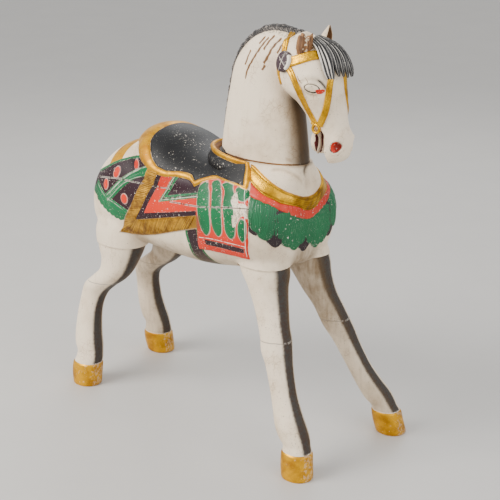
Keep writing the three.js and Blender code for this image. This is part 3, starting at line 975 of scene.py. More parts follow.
def grow(piece: bpy.types.Object, tree: bpy.types.NodeTree, **values: object) -> bpy.types.Object:
    """Runs a geometry node tree on a piece and keeps the mesh it makes.

    Args:
        piece: The points or paths.
        tree: What is made along them.
        values: The tree's inputs, underscores for the spaces in their names.

    Returns:
        The piece, now a plain closed mesh with its faces out.
    """
    modifier = piece.modifiers.new(tree.name, "NODES")
    modifier.node_group = tree
    for item in tree.interface.items_tree:
        label = item.name.lower().replace(" ", "_")
        if item.in_out == "INPUT" and label in values:
            modifier[item.identifier] = values[label]
    settle(piece)
    made = bmesh.new()
    made.from_mesh(piece.data)
    bmesh.ops.recalc_face_normals(made, faces=made.faces)
    made.to_mesh(piece.data)
    made.free()
    return piece


Colour = tuple[float, float, float]

CREAM = (0.95, 0.795, 0.60)
CREAM_WORN = (0.74, 0.59, 0.41)
GROUND = (0.84, 0.77, 0.66)
BARE_DARK = (0.055, 0.030, 0.018)
BARE_LIGHT = (0.30, 0.145, 0.05)
GOLD_BRIGHT = (0.76, 0.38, 0.002)
GOLD_DULL = (0.44, 0.185, 0.001)
# Brown for stains, and for painted shade in creases, under things and between parts
STAIN_AND_SHADE_BROWN = (0.15, 0.082, 0.024)
# Near-black for the airbrushed black paint, and for painted shade inside the nostrils
BLACK_PAINT_AND_SHADE = (0.012, 0.011, 0.012)


@dataclass(frozen=True)
class Paint:
    """One coat's finish."""

    colour: Colour
    shade: Colour
    roughness: float
    metal: float = 0.0
    chips: float = 1.0


PAINTS = {
    Coat.GOLD: Paint(GOLD_BRIGHT, GOLD_DULL, 0.34, 0.6, 0.25),
    Coat.AUBERGINE: Paint((0.026, 0.006, 0.012), (0.014, 0.004, 0.007), 0.45),
    Coat.GREEN: Paint((0.0, 0.160, 0.048), (0.0, 0.095, 0.030), 0.45, 0.0, 0.7),
    Coat.RED: Paint((0.74, 0.030, 0.006), (0.54, 0.020, 0.005), 0.48, 0.0, 0.7),
    Coat.BLACK: Paint((0.009, 0.009, 0.010), (0.005, 0.005, 0.006), 0.46, 0.0, 0.45),
    Coat.MAROON: Paint((0.13, 0.010, 0.014), (0.06, 0.006, 0.008), 0.4, 0.0, 0.4),
    Coat.WOOD: Paint((0.29, 0.135, 0.04), (0.12, 0.05, 0.016), 0.62, 0.0, 0.2),
}


class Finish:
    """A named material with one Principled shader, built when it is first asked for."""

    def __init__(self, name: str) -> None:
        """Names the finish."""
        self.name = name

    def material(self) -> bpy.types.Material:
        """The material, the same one each time."""
        if self.name in bpy.data.materials:
            return bpy.data.materials[self.name]
        made = bpy.data.materials.new(self.name)
        made.use_nodes = True
        made.node_tree.nodes.clear()
        wiring = Wiring(made.node_tree)
        place = wiring.add("ShaderNodeTexCoord").outputs["Object"]
        shader = wiring.add("ShaderNodeBsdfPrincipled")
        out = wiring.add("ShaderNodeOutputMaterial")
        made.node_tree.links.new(shader.outputs[0], out.inputs[0])
        self.wire(wiring, place, shader)
        return made

    def wire(self, wiring: Wiring, place: Socket, shader: bpy.types.Node) -> None:
        """Makes the finish's colour, roughness and bump."""
        raise NotImplementedError

    @staticmethod
    def bump(wiring: Wiring, shader: bpy.types.Node, height: Socket, depth: float) -> None:
        """Raises the surface's shading by a height of up to depth metres."""
        node = wiring.add("ShaderNodeBump", {"Height": height, "Strength": 1.0, "Distance": depth})
        wiring.put(shader.inputs["Normal"], node.outputs[0])


class AgedPaint(Finish):
    """The horse's paintwork: cream with every coat laid over it, chipped, crackled, stained and browned with
    painted shade.
    """

    def wire(self, wiring: Wiring, place: Socket, shader: bpy.types.Node) -> None:
        """Lays the coats one over another, then ages them."""
        wear = wiring.layer("wear")
        aged = wiring.add("ShaderNodeGroup", node_tree=weathering())
        wiring.put(aged.inputs["Vector"], place)
        wiring.put(aged.inputs["Wear"], wear)
        flakes, specks, crackle, clouds, brush = (aged.outputs[n] for n in range(5))
        colour = wiring.mix(wiring.step(clouds, 0.42, 0.70), CREAM, CREAM_WORN)
        colour = wiring.mix(wiring.step(brush, 0.50, 0.80, 0.0, 0.35), colour, CREAM_WORN)
        colour = wiring.mix(wiring.math("MULTIPLY", crackle, 0.4), colour, BARE_LIGHT)
        rough: Socket | float = wiring.step(clouds, 0.3, 0.7, 0.42, 0.56)
        metal: Socket | float = 0.0
        painted: Socket | float = 0.0
        chips: Socket | float = 1.0
        edges: Socket | float = 0.0
        gold = wiring.add("ShaderNodeGroup", node_tree=worn_gold())
        for name, value in {"Vector": place, "Bright": GOLD_BRIGHT, "Dull": GOLD_DULL,
                            "Roughness": 0.33}.items():
            wiring.put(gold.inputs[name], value)
        for coat, paint in PAINTS.items():
            edge = wiring.add("ShaderNodeGroup", node_tree=brushed_edge())
            wiring.put(edge.inputs["Vector"], place)
            wiring.put(edge.inputs["Depth"], wiring.layer(f"{coat.value}_mm"))
            mask = edge.outputs[0]
            edges = wiring.math("MAXIMUM", edges, edge.outputs[1])
            tone = gold.outputs[0] if coat is Coat.GOLD else wiring.mix(
                wiring.step(clouds, 0.35, 0.7), paint.colour, paint.shade
            )
            colour = wiring.mix(mask, colour, tone)
            rough = wiring.blend(mask, rough, gold.outputs[1] if coat is Coat.GOLD else paint.roughness)
            metal = wiring.blend(mask, metal, paint.metal)
            painted = wiring.math("MAXIMUM", painted, mask)
            chips = wiring.blend(mask, chips, paint.chips)
        # The shade mark's near-black: airbrushed black paint on the legs and throat, the drip, the smudge and
        # the crest streaks, and painted shade inside the nostrils
        colour = wiring.mix(wiring.math("MULTIPLY", wiring.layer("shade"), 0.96), colour, BLACK_PAINT_AND_SHADE)
        rough = wiring.blend(wiring.layer("shade"), rough, 0.46)
        drawn = wiring.step(wiring.math("ABSOLUTE", wiring.layer("line")), 0.6, 1.4, 1.0, 0.0)
        drawn = wiring.math("MULTIPLY", drawn, wiring.layer("line_strength"))
        thin = wiring.math("MAXIMUM", drawn, wiring.math("MULTIPLY", edges, wiring.layer("trim")))
        thin = wiring.math("MULTIPLY", thin, wiring.step(brush, 0.36, 0.50, 0.25, 1.0))
        colour = wiring.mix(thin, colour, GROUND)
        gone = wiring.math("MULTIPLY", wiring.math("MULTIPLY", flakes, painted), chips)
        gone = wiring.math("MAXIMUM", gone,
                           wiring.math("MULTIPLY", wiring.math("MULTIPLY", specks, painted), chips))
        colour = wiring.mix(gone, colour, GROUND)
        metal = wiring.blend(gone, metal, 0.0)
        bare = wiring.math("MULTIPLY", specks, wiring.math("SUBTRACT", 1.0, painted))
        deep = wiring.math("MULTIPLY", flakes,
                           wiring.math("MULTIPLY", wear, wiring.math("SUBTRACT", 1.0, painted)))
        bare = wiring.math("MAXIMUM", bare, deep)
        colour = wiring.mix(bare, colour, BARE_DARK)
        seam = wiring.layer("seam")
        sway = wiring.math("MULTIPLY", wiring.math("SUBTRACT", wiring.noise(place, 60.0, 3.0), 0.5), 5.0)
        split = wiring.math("ABSOLUTE", wiring.math("ADD", seam, wiring.math("MULTIPLY", sway, 0.5)))
        open_seam = wiring.layer("seam_strength")
        chipped = wiring.math("MULTIPLY", wiring.step(split, 1.6, 2.8, 0.8, 0.0), open_seam)
        chipped = wiring.math("MULTIPLY", chipped, wiring.step(brush, 0.4, 0.5))
        colour = wiring.mix(chipped, colour, GROUND)
        crack = wiring.math("MULTIPLY", wiring.step(split, 0.5, 1.3, 1.0, 0.0), open_seam)
        colour = wiring.mix(crack, colour, BARE_DARK)
        # Brown from the stain-and-shade mark: partly stains and the dark neck joint, partly painted shade in
        # creases, under things and between parts
        stain_and_shade = wiring.math("MULTIPLY", wiring.layer("stain_and_shade"), wiring.step(clouds, 0.25, 0.6, 0.55, 1.0))
        streaks = wiring.step(brush, 0.30, 0.70, 0.72, 1.0)
        brown_share = wiring.math("MULTIPLY", wiring.math("MULTIPLY", stain_and_shade, streaks), 0.96)
        colour = wiring.mix(brown_share, colour, STAIN_AND_SHADE_BROWN)
        wiring.put(shader.inputs["Base Color"], colour)
        wiring.put(shader.inputs["Roughness"], wiring.math("ADD", rough, wiring.math("MULTIPLY", bare, 0.2)))
        wiring.put(shader.inputs["Metallic"], metal)
        shader.inputs["Specular IOR Level"].default_value = 0.3
        height = wiring.math("ADD", wiring.math("MULTIPLY", brush, 0.35),
                             wiring.math("MULTIPLY", clouds, 0.5))
        height = wiring.math("ADD", height, wiring.math("MULTIPLY", painted, 0.5))
        for mask, drop in ((gone, 0.6), (bare, 0.9), (crackle, 0.4), (crack, 2.5)):
            height = wiring.math("SUBTRACT", height, wiring.math("MULTIPLY", mask, drop))
        self.bump(wiring, shader, height, 0.0006)


class Gilding(Finish):
    """Gold on a carved moulding, dulled unevenly and in its hollows."""

    def __init__(self, name: str, bright: Colour, dull: Colour, roughness: float, metal: float,
                 patina: float) -> None:
        """Names the gold and says how bright and how dulled it is."""
        super().__init__(name)
        self.bright, self.dull = bright, dull
        self.roughness, self.metal, self.patina = roughness, metal, patina

    def wire(self, wiring: Wiring, place: Socket, shader: bpy.types.Node) -> None:
        """Gold, dulled in its hollows."""
        gold = wiring.add("ShaderNodeGroup", node_tree=worn_gold())
        given = {
            "Vector": place, "Bright": self.bright, "Dull": self.dull,
            "Patina": self.patina, "Roughness": self.roughness,
        }
        for name, value in given.items():
            wiring.put(gold.inputs[name], value)
        hollow = wiring.layer("hollow")
        colour = wiring.mix(wiring.math("MULTIPLY", hollow, 0.75), gold.outputs[0], (0.13, 0.055, 0.008))
        wiring.put(shader.inputs["Base Color"], colour)
        wiring.put(shader.inputs["Roughness"], gold.outputs[1])
        shader.inputs["Metallic"].default_value = self.metal
        self.bump(wiring, shader, gold.outputs[2], 0.0004)


class PlainPaint(Finish):
    """One colour of old paint on a carved form: worn pale along its ridges, with painted shade in its
    hollows.
    """

    def __init__(
        self, name: str, paint: Paint, ridges: float = 0.5, ground: Colour = GROUND, patchy: float = 0.42,
        wear: float = 0.12,
    ) -> None:
        """Names the paint and says how far its ridges are worn, how unevenly, and how chipped the rest is."""
        super().__init__(name)
        self.paint, self.ridges, self.ground, self.patchy, self.wear = paint, ridges, ground, patchy, wear

    def wire(self, wiring: Wiring, place: Socket, shader: bpy.types.Node) -> None:
        """Paint, worn on the ridges and chipped."""
        aged = wiring.add("ShaderNodeGroup", node_tree=weathering())
        wiring.put(aged.inputs["Vector"], place)
        ridge = wiring.layer("ridge")
        aged.inputs["Wear"].default_value = self.wear
        flakes, specks, _, clouds, brush = (aged.outputs[n] for n in range(5))
        colour = wiring.mix(wiring.step(clouds, 0.35, 0.7), self.paint.colour, self.paint.shade)
        # Painted shade: the paint darkened in the hollows between the flutes of the locks and the barbs of
        # the feathers
        hollow = wiring.layer("hollow")
        colour = wiring.mix(wiring.math("MULTIPLY", hollow, 0.7), colour, self.paint.shade)
        gone = wiring.math("MAXIMUM", flakes, specks)
        rubbed = wiring.step(brush, self.patchy, self.patchy + 0.15)
        rubbed = wiring.math("MULTIPLY", wiring.step(ridge, 0.82, 0.97), rubbed)
        gone = wiring.math("MAXIMUM", gone, wiring.math("MULTIPLY", rubbed, self.ridges))
        gone = wiring.math("MULTIPLY", gone, self.paint.chips)
        colour = wiring.mix(gone, colour, self.ground)
        wiring.put(shader.inputs["Base Color"], colour)
        wiring.put(shader.inputs["Roughness"], wiring.blend(gone, self.paint.roughness, 0.6))
        height = wiring.math("SUBTRACT", wiring.math("MULTIPLY", brush, 0.4), gone)
        self.bump(wiring, shader, height, 0.0005)


class BareWood(Finish):
    """Broken or unpainted old timber."""

    def wire(self, wiring: Wiring, place: Socket, shader: bpy.types.Node) -> None:
        """Grain, and remains of the cream in places."""
        grain = wiring.add("ShaderNodeGroup", node_tree=wood_grain())
        wiring.put(grain.inputs["Vector"], place)
        wiring.put(grain.inputs["Light"], (0.36, 0.17, 0.06))
        wiring.put(grain.inputs["Dark"], (0.085, 0.035, 0.014))
        left = wiring.step(wiring.noise(place, 55.0, 3.0), 0.60, 0.63)
        wiring.put(shader.inputs["Base Color"], wiring.mix(left, grain.outputs[0], CREAM_WORN))
        shader.inputs["Roughness"].default_value = 0.7
        self.bump(wiring, shader, grain.outputs[1], 0.0012)


PAINTWORK = AgedPaint("aged_paintwork")
GOLD_LEAF = Gilding("gold_leaf", (0.80, 0.43, 0.008), (0.34, 0.155, 0.002), 0.27, 0.85, 0.9)
FRINGE_GOLD = Gilding("fringe_gold", (0.80, 0.43, 0.018), (0.26, 0.11, 0.006), 0.40, 0.45, 1.0)
FEATHER_GREEN = PlainPaint("feather_green", PAINTS[Coat.GREEN], 0.75)
FEATHER_DARK = PlainPaint("feather_aubergine", PAINTS[Coat.AUBERGINE], 0.7)
BAND_RED = PlainPaint("collar_red", Paint((0.70, 0.030, 0.006), (0.44, 0.018, 0.005), 0.46), 0.6)
HAIR_BLACK = PlainPaint(
    "hair_black", Paint((0.016, 0.015, 0.017), (0.006, 0.006, 0.007), 0.45), 1.0, (0.62, 0.58, 0.52), 0.30,
    0.0
)
MANE_BLACK = PlainPaint(
    "mane_black", Paint((0.024, 0.020, 0.020), (0.008, 0.007, 0.007), 0.5), 0.8, (0.42, 0.36, 0.31), 0.40,
    0.25
)
BROKEN_WOOD = BareWood("broken_wood")
ROSETTE_PAINT = PlainPaint("rosette_paint", Paint((0.035, 0.013, 0.02), (0.02, 0.008, 0.012), 0.4), 1.0,
                           GROUND, 0.0)
BONE_PAINT = PlainPaint("bit_paint", Paint((0.60, 0.50, 0.38), (0.38, 0.27, 0.17), 0.5), 0.3, BARE_DARK)


def dress(piece: bpy.types.Object, finish: Finish, node: str | None = None) -> bpy.types.Object:
    """Gives a piece its finish.

    Args:
        piece: The piece.
        finish: What covers all of it.
        node: The solid it stands for, if it does.

    Returns:
        The piece.
    """
    piece.data.materials.clear()
    piece.data.materials.append(finish.material())
    piece.data.polygons.foreach_set("material_index", [0] * len(piece.data.polygons))
    if node:
        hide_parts(node)
    return piece


def scallops(corners: Sequence[tuple[float, float]], bulge: float = 5.0) -> list[tuple[float, float]]:
    """A lower edge of small round scallops, each hanging from one corner to the next."""
    points = []
    for start, end in zip(corners[:-1], corners[1:]):
        run = np.subtract(end, start)
        down = np.array([run[1], -run[0]]) / np.linalg.norm(run)
        for share in (0.0, 0.15, 0.35, 0.5, 0.65, 0.85):
            place = start + run * share + down * bulge * math.sin(share * math.pi) ** 0.6
            points.append((float(place[0]), float(place[1])))
    return points


# The harness seen from the side, as x and z; both sides of the horse match
RUMP_BAND = Outline(((-380, 860), (-338, 860), (-312, 752), (-358, 726)))
CRUPPER = Outline((
    (-150, 800), (-216, 791), (-248, 783), (-320, 758), (-344, 747), (-367, 734), (-420, 708), (-520, 678),
    (-520, 652), (-416, 634),
    *scallops(((-412, 632), (-396, 619), (-378, 611), (-361, 602), (-344, 594), (-326, 588),
                                         (-307, 584), (-289, 583))), (-230, 600),
))
CRUPPER_OVALS = (
    oval((-313, 724), (14, 17), -12), oval((-234, 760), (15, 16), -20), oval((-356, 681), (12, 17), -8),
    oval((-268, 653), (15, 16), 12),
)
CRUPPER_STRAPS = (
    Stroke(((-182, 753), (-241, 728), (-277, 703), (-317, 667), (-363, 629))),
    Stroke(((-406, 666), (-382, 650), (-357, 633), (-317, 624), (-264, 608))),
)
CRUPPER_FOLDS = (
    Stroke(((-182, 764), (-236, 742), (-272, 718), (-312, 682), (-352, 646))),
    Stroke(((-200, 733), (-246, 714), (-284, 690), (-322, 655), (-352, 629))),
    Stroke(((-212, 752), (-262, 722), (-300, 690), (-336, 656))),
    Stroke(((-404, 672), (-380, 657), (-352, 640), (-317, 632), (-272, 617))),
)
BLANKET = Outline((
    (-120, 830), (-138, 800), (-172, 764), (-203, 709), (-234, 646), (-274, 590), (-310, 536), (-269, 537),
    (-209, 548), (-147, 563), (-78, 585), (-14, 606), (44, 624), (66, 630), (66, 830),
))
BLANKET_FIELD = Outline((
    (-100, 810), (-132, 752), (-162, 698), (-187, 648), (-221, 598), (-151, 614), (-84, 631), (-20, 647),
    (45, 663),
    (200, 703), (200, 810),
))
BLANKET_RED = Outline((
    (-84, 805), (-116, 749), (-148, 685), (-181, 626), (-106, 642), (-30, 659), (43, 676), (200, 716),
    (200, 805),
))
BLANKET_CHEVRON = Outline(((-40, 803), (-72, 757), (-121, 670), (36, 709), (200, 751), (200, 803)))
GIRTH = Outline(((-5, 640), (-5, 600), (0, 569), (-3, 529), (-3, 440), (82, 440), (80, 500), (69, 538),
                 (62, 557),
                 (50, 640)))
PANEL = Outline((
    (30, 740), (35, 707), (41, 683), (48, 650), (51, 611), (46, 565), (109, 571), (161, 574), (205, 575),
    (241, 574), (252, 628), (252, 682), (238, 733), (214, 764), (145, 790), (78, 790), (30, 770),
))
PANEL_REEDS = (
    Outline(((28, 735), (36, 711), (47, 685), (62, 646), (77, 623), (92, 616), (106, 629), (108, 656),
             (97, 697),
             (85, 722), (66, 741), (60, 752), (48, 753), (36, 746)), curved=True),
    Outline(((72, 755), (86, 735), (103, 705), (110, 671), (122, 639), (141, 624), (157, 635), (158, 668),
             (148, 706), (132, 735), (117, 750), (107, 762), (86, 763)), curved=True),
    Outline(((116, 758), (127, 753), (139, 742), (152, 712), (164, 681), (174, 642), (192, 628), (208, 637),
             (213, 671), (204, 706), (192, 725), (182, 741), (166, 757), (160, 767), (136, 768)),
             curved=True),
    Outline(((176, 758), (184, 747), (198, 736), (214, 732), (228, 735), (230, 747), (215, 762), (192, 767)),
            curved=True),
    Outline(((230, 692), (222, 680), (220, 665), (224, 641), (236, 628), (246, 640), (248, 672), (243, 688)),
            curved=True),
)
PANEL_FRAME = Stroke(((58, 603), (111, 610), (173, 614), (226, 616), (246, 615)))
PANEL_FRONT = Stroke(((238, 584), (244, 630), (243, 684), (229, 730), (208, 758)))
PANEL_STRIP = Outline(((80, 601), (140, 606), (200, 608), (236, 608), (233, 594), (200, 592), (140, 590),
                       (82, 586)))
PAINT_LOSS = Outline((
    (180, 748), (196, 742), (206, 728), (232, 728), (246, 712), (250, 694), (236, 700), (226, 694),
    (214, 672),
    (205, 664), (200, 684), (202, 700), (192, 716), (182, 726)), curved=True)
SADDLE = Outline((
    (-330, 900), (-330, 806), (-263, 814), (-231, 791), (-208, 776), (-180, 763), (-144, 751), (-106, 746),
    (-64, 751), (-16, 749), (-2, 743), (10, 735), (32, 748), (58, 759), (97, 768), (140, 768), (180, 765),
    (214, 758), (207, 783), (189, 811), (177, 825), (170, 900),
))
LEATHER = Outline((
    (-224, 910), (-224, 849), (-222, 840), (-214, 828), (-200, 816), (-185, 803), (-168, 788), (-153, 778),
    (-138, 769), (-107, 762), (-84, 763), (-60, 765), (-34, 764), (-15, 761), (4, 749), (20, 757), (40, 764),
    (58, 770), (80, 773), (110, 774), (163, 772), (194, 769), (173, 808), (163, 821), (150, 910),
))
PLANK_SEAMS = (
    Stroke(((-408, 692), (-303, 708), (-233, 709), (-169, 710), (-81, 717))),
    Stroke(((-76, 679), (53, 689), (156, 707), (244, 719), (290, 721), (311, 714))),
)

# The breast collar and its feathers, in degrees from the front and heights
COLLAR_TOP = ((-72, 828), (-60, 820), (-51, 809), (-43, 796), (-35, 781), (-25, 764), (-17, 754), (-8, 744),
              (0, 741))
COLLAR_LOW = ((-63, 783), (-54, 766), (-47, 753), (-39, 743), (-32, 732), (-23, 725), (-14, 717), (-9, 707),
              (-3, 701), (0, 700))
BAND_LOW = ((-60, 751), (-49, 739), (-39, 726), (-31, 711), (-21, 694), (-11, 682), (-2, 675), (0, 675))
FEATHER_LOW = (
    (-57, 712), (-50, 690), (-42, 668), (-34, 650), (-24, 634), (-14, 624), (-4, 612), (0, 612),
)


BREAST_ARC = Stroke(((-36, 815), (-30, 818), (-23, 816), (-17, 809), (-11, 797), (-6, 778)), View.CHEST)


def across_chest(upper: Sequence[tuple[float, float]], lower: Sequence[tuple[float, float]]) -> Outline:
    """The outline between two lines that cross the front of the chest, each given for the right side."""
    over = (12.0, upper[-1][1] + 3), (12.0, lower[-1][1] + 3)
    return Outline((*upper, *over, *reversed(lower)), View.CHEST)


def rise(depth: np.ndarray, edge: float = 3.0) -> np.ndarray:
    """1 inside an outline and 0 outside it, with a carved edge this wide."""
    return smooth(-edge / 2, edge / 2, depth)


def crown(depth: np.ndarray, width: float) -> np.ndarray:
    """A rounded rise from an outline's edge to full height this far inside it."""
    share = np.clip(depth / width, 0, 1)
    return np.sqrt(1 - (1 - share) ** 2)


@dataclass
class Trunk:
    """The glued trunk of planks, with the seat, the harness carved on it and the tops of the legs."""

    voxel: float = 6.6
    soften: int = 8
    stub: float = 30.0
    leg_gap: float = 6.0
    neck_gap: float = 16.0
    crupper_proud: float = 4.0
    blanket_proud: float = 6.0
    panel_proud: float = 8.5
    leather_proud: float = 5.0
    rim_proud: float = 6.0

    def stubs(self) -> list[Shell]:
        """The tops of the four legs, and a little more of them for the saw to take off."""
        made = []
        for hand in SIDES.values():
            for stations, joint in ((FORELEG, FORE_JOINT),
                                    (stepped(HIND_LEG, -hand * HIND_STEP), HIND_JOINT)):
                rows = through(stations, np.linspace(0, len(stations) - 1, 8 * (len(stations) - 1) + 1))
                made.append(limb_of(rows[rows[:, 2] > joint - self.stub], hand, 64))
        return made

    def recesses(self) -> list[Shell]:
        """What the legs and the neck take out of the trunk at their joints."""
        made = []
        for hand in SIDES.values():
            for stations, joint in ((FORELEG, FORE_JOINT),
                                    (stepped(HIND_LEG, -hand * HIND_STEP), HIND_JOINT)):
                dense = through(stations, np.linspace(0, len(stations) - 1, 400))[::-1]
                levels = np.linspace(joint, joint - 120, 31)
                rows = np.stack([np.interp(levels, dense[:, 2], dense[:, at]) for at in range(5)], axis=1)
                made.append(limb_of(rows, hand, 96, self.leg_gap))
        levels = (NECK_JOINT, NECK_JOINT + 20, NECK_JOINT + 70)
        neck = np.array([(NECK_MIDDLE, 0, z, NECK_REACH, NECK_HALF) for z in levels], float)
        made.append(limb_of(neck, 1, 96, self.neck_gap))
        return made

    def flank(self, skin: Skin) -> np.ndarray:
        """How far inside the outer flanks a point lies, negative between the legs."""
        side = abs(skin.points[:, 1])
        turned = skin.normals[:, 1] * np.sign(skin.points[:, 1])
        low = 1 - smooth(600, 660, skin.points[:, 2])
        return np.minimum(side - 62, 40 * (turned + 0.35)) * low + 30 * (1 - low)

    def carve(self, skin: Skin) -> np.ndarray:
        """How far the relief stands out at each point."""
        flank = self.flank(skin)
        x, y, z = skin.points.T
        girth = np.minimum(GIRTH.depth(skin), 640 - z)
        high = 2.0 * rise(RUMP_BAND.depth(skin), 4)
        high = np.maximum(high, 3.5 * rise(girth, 4) * smooth(-20, 20, 690 - z))

        def cover(depth: np.ndarray, height: float, edge: float = 3.0) -> None:
            """Raises what an outline covers to one height, with soft edges."""
            nonlocal high
            share = rise(np.minimum(depth, flank), edge)
            high = high * (1 - share) + height * share

        cover(CRUPPER.depth(skin), self.crupper_proud)
        for egg in CRUPPER_OVALS:
            high = high + 2.0 * crown(egg.depth(skin), 8) * rise(flank)
        for strap in CRUPPER_STRAPS:
            side, within = strap.gap(skin)
            share = rise(np.minimum(np.minimum(13 - abs(side), within + 10), flank), 2.5)
            high = np.maximum(high, self.crupper_proud + 2.0 * share
                              * np.sqrt(abs(np.sin(side / 13 * math.pi))))
        blanket = BLANKET.depth(skin)
        cover(blanket, self.blanket_proud)
        panel = PANEL.depth(skin)
        cover(panel, self.panel_proud)
        for reed in PANEL_REEDS:
            high = high + 3.0 * crown(reed.depth(skin), 14) * rise(flank)
        strip = PANEL_STRIP.depth(skin)
        high = high - 1.5 * rise(strip, 3) * rise(flank)
        chevron = BLANKET_CHEVRON.depth(skin)
        groove = bell(chevron - 8.5, 1.8) * rise(flank) * (blanket > 4) * (panel < -2)
        high = high + 1.2 * groove
        saddle, leather = SADDLE.depth(skin), LEATHER.depth(skin)
        cover(saddle, self.leather_proud)
        share = np.clip(saddle / np.maximum(saddle - leather, 1e-3), 0, 1)
        rolled = np.sqrt(np.clip(1 - (2 * share - 1) ** 2, 0, 1)) * (saddle > 0) * (leather < 0)
        return high + self.rim_proud * rolled

    def muscles(self, skin: Skin) -> np.ndarray:
        """The breast muscles and the hollow between them."""
        x, y, z = skin.points.T
        front = smooth(200, 240, x) * smooth(0.0, 0.4, skin.normals[:, 0])
        valley = bell(y, 16) * smooth(742, 765, z) * (1 - smooth(812, 832, z))
        swell = bell(abs(y) - 52, 34) * bell(z - 786, 26)
        side, within = BREAST_ARC.gap(skin)
        groove = bell(side, 4.5) * smooth(-8, 10, within)
        return front * (5.0 * swell - 8.0 * valley - 6.0 * groove)

    def paint(self, skin: Skin) -> Painting:
        """Lays every coat and mark on the trunk."""
        painting = Painting(skin)
        x, y, z = skin.points.T
        flank = self.flank(skin)

        def inside(outline: Outline, less: float = 0.0) -> np.ndarray:
            """How far inside an outline and the outer flanks each point lies."""
            return np.minimum(outline.depth(skin) - less, flank)

        painting.lay(Coat.GOLD, np.minimum(RUMP_BAND.depth(skin), z - 700))
        girth = np.minimum(GIRTH.depth(skin), 645 - z)
        painting.lay(Coat.GREEN, girth)
        painting.lay(Coat.AUBERGINE, girth - 9)
        crupper = inside(CRUPPER)
        painting.lay(Coat.GREEN, crupper)
        field_low = z - np.interp(x, [-520, -410, -356, -292, -230], [676, 655, 625, 606, 622])
        painting.lay(Coat.AUBERGINE, np.minimum(crupper - 8, field_low))
        for egg in CRUPPER_OVALS:
            painting.lay(Coat.RED, inside(egg))
            painting.mark("trim", 0.3 * rise(egg.depth(skin) + 4))
        for strap in CRUPPER_STRAPS:
            side, within = strap.gap(skin)
            painting.lay(Coat.GREEN, np.minimum(np.minimum(13.5 - abs(side), within + 12), crupper))
        blanket = inside(BLANKET)
        for fold in CRUPPER_FOLDS:
            painting.draw("line", fold, 0.55 * ((crupper > 3) & (blanket < -1)))
        painting.lay(Coat.GOLD, blanket)
        # Painted shade: the gold under the fringe is browned, so the gaps between the threads look dark
        painting.mark("stain_and_shade", 0.75 * rise(np.minimum(blanket, -BLANKET_FIELD.depth(skin))) * rise(flank)
                      * (z < 735))
        painting.lay(Coat.AUBERGINE, inside(BLANKET_FIELD))
        painting.lay(Coat.RED, inside(BLANKET_RED))
        chevron = BLANKET_CHEVRON.depth(skin)
        painting.lay(Coat.GREEN, np.minimum(chevron, flank))
        painting.lay(Coat.AUBERGINE, np.minimum(1.6 - abs(chevron - 8.5), flank))
        painting.lay(Coat.AUBERGINE, np.minimum(chevron - 16, flank))
        panel, saddle = inside(PANEL), SADDLE.depth(skin)
        shown = (blanket > 3) & (flank > 0) & (panel < -1) & (saddle < -1)
        painting.note("line", chevron - 4.5, 0.8 * shown)
        hem = (BLANKET.depth(skin) < 6) & (flank > 0) & (panel < -1) & (z < 640) & (blanket > -3)
        painting.note("line", blanket - 1.2, 0.8 * hem)
        painting.lay(Coat.RED, panel)
        for reed in PANEL_REEDS:
            painting.lay(Coat.GREEN, inside(reed))
            painting.mark("trim", 0.35 * rise(reed.depth(skin) + 5))
        loss = np.minimum(PAINT_LOSS.depth(skin), np.where(y < 0, FAR, -FAR))
        painting.lay(None, loss)
        painting.mark("wear", 0.45 * rise(loss + 2))
        painting.lay(Coat.AUBERGINE, inside(PANEL_STRIP))
        painting.draw("line", PANEL_FRAME, panel > 0)
        painting.draw("line", PANEL_FRONT, panel > 0)
        self.paint_chest(painting, skin)
        painting.lay(Coat.GOLD, saddle)
        painting.lay(Coat.BLACK, LEATHER.depth(skin))
        for seam in PLANK_SEAMS:
            painting.draw("seam", seam, rise(flank))
        painting.mark("wear", np.full(len(x), 0.12))
        neck = np.hypot((x - NECK_MIDDLE) / NECK_REACH, y / NECK_HALF)
        painting.mark("stain_and_shade", bell(z - NECK_JOINT, 6) * (1 - smooth(1.0, 1.06, neck)) * (x > 60))
        drip = (
            bell(y + 4 + 3 * np.sin(z / 9), 4.0 + np.clip(z - 800, 0, 40) * 0.22) * smooth(792, 812, z)
            * (x > 280)
        )
        painting.mark("shade", 0.95 * drip)
        ahead = (x > 230) * smooth(0.0, 0.4, skin.normals[:, 0])
        # Painted shade: brown along the groove of the breast arc and in the hollow between the breast muscles
        arc, within = BREAST_ARC.gap(skin)
        painting.mark("stain_and_shade", 0.38 * bell(arc, 3.5) * smooth(-8, 10, within) * ahead)
        painting.mark("stain_and_shade", 0.30 * bell(y, 9) * smooth(745, 770, z) * ahead)
        # Painted shade: brown between the legs under the trunk, and on the faces that look down
        between = (1 - smooth(30, 70, abs(y))) * (1 - smooth(560, 640, z))
        painting.mark("stain_and_shade", 0.85 * between)
        under = smooth(0.35, 0.9, -skin.normals[:, 2]) * (1 - smooth(540, 620, z))
        painting.mark("stain_and_shade", 0.6 * under)
        return painting

    def paint_chest(self, painting: Painting, skin: Skin) -> None:
        """The feathers, the pleated band and the gold collar as they are painted on the wood."""
        side = -abs(skin.points[:, 1])
        turned = skin.normals.copy()
        turned[:, 1] = np.where(skin.points[:, 1] > 0, -turned[:, 1], turned[:, 1])
        half = Skin(np.column_stack([skin.points[:, 0], side, skin.points[:, 2]]), turned)
        ahead = skin.points[:, 0] - 190
        feathers = np.minimum(across_chest(BAND_LOW, FEATHER_LOW).depth(half), ahead)
        painting.lay(Coat.GREEN, feathers)
        painting.lay(Coat.RED, np.minimum(across_chest(COLLAR_LOW, BAND_LOW).depth(half), ahead))
        painting.lay(Coat.GOLD, np.minimum(across_chest(COLLAR_TOP, COLLAR_LOW).depth(half), ahead))

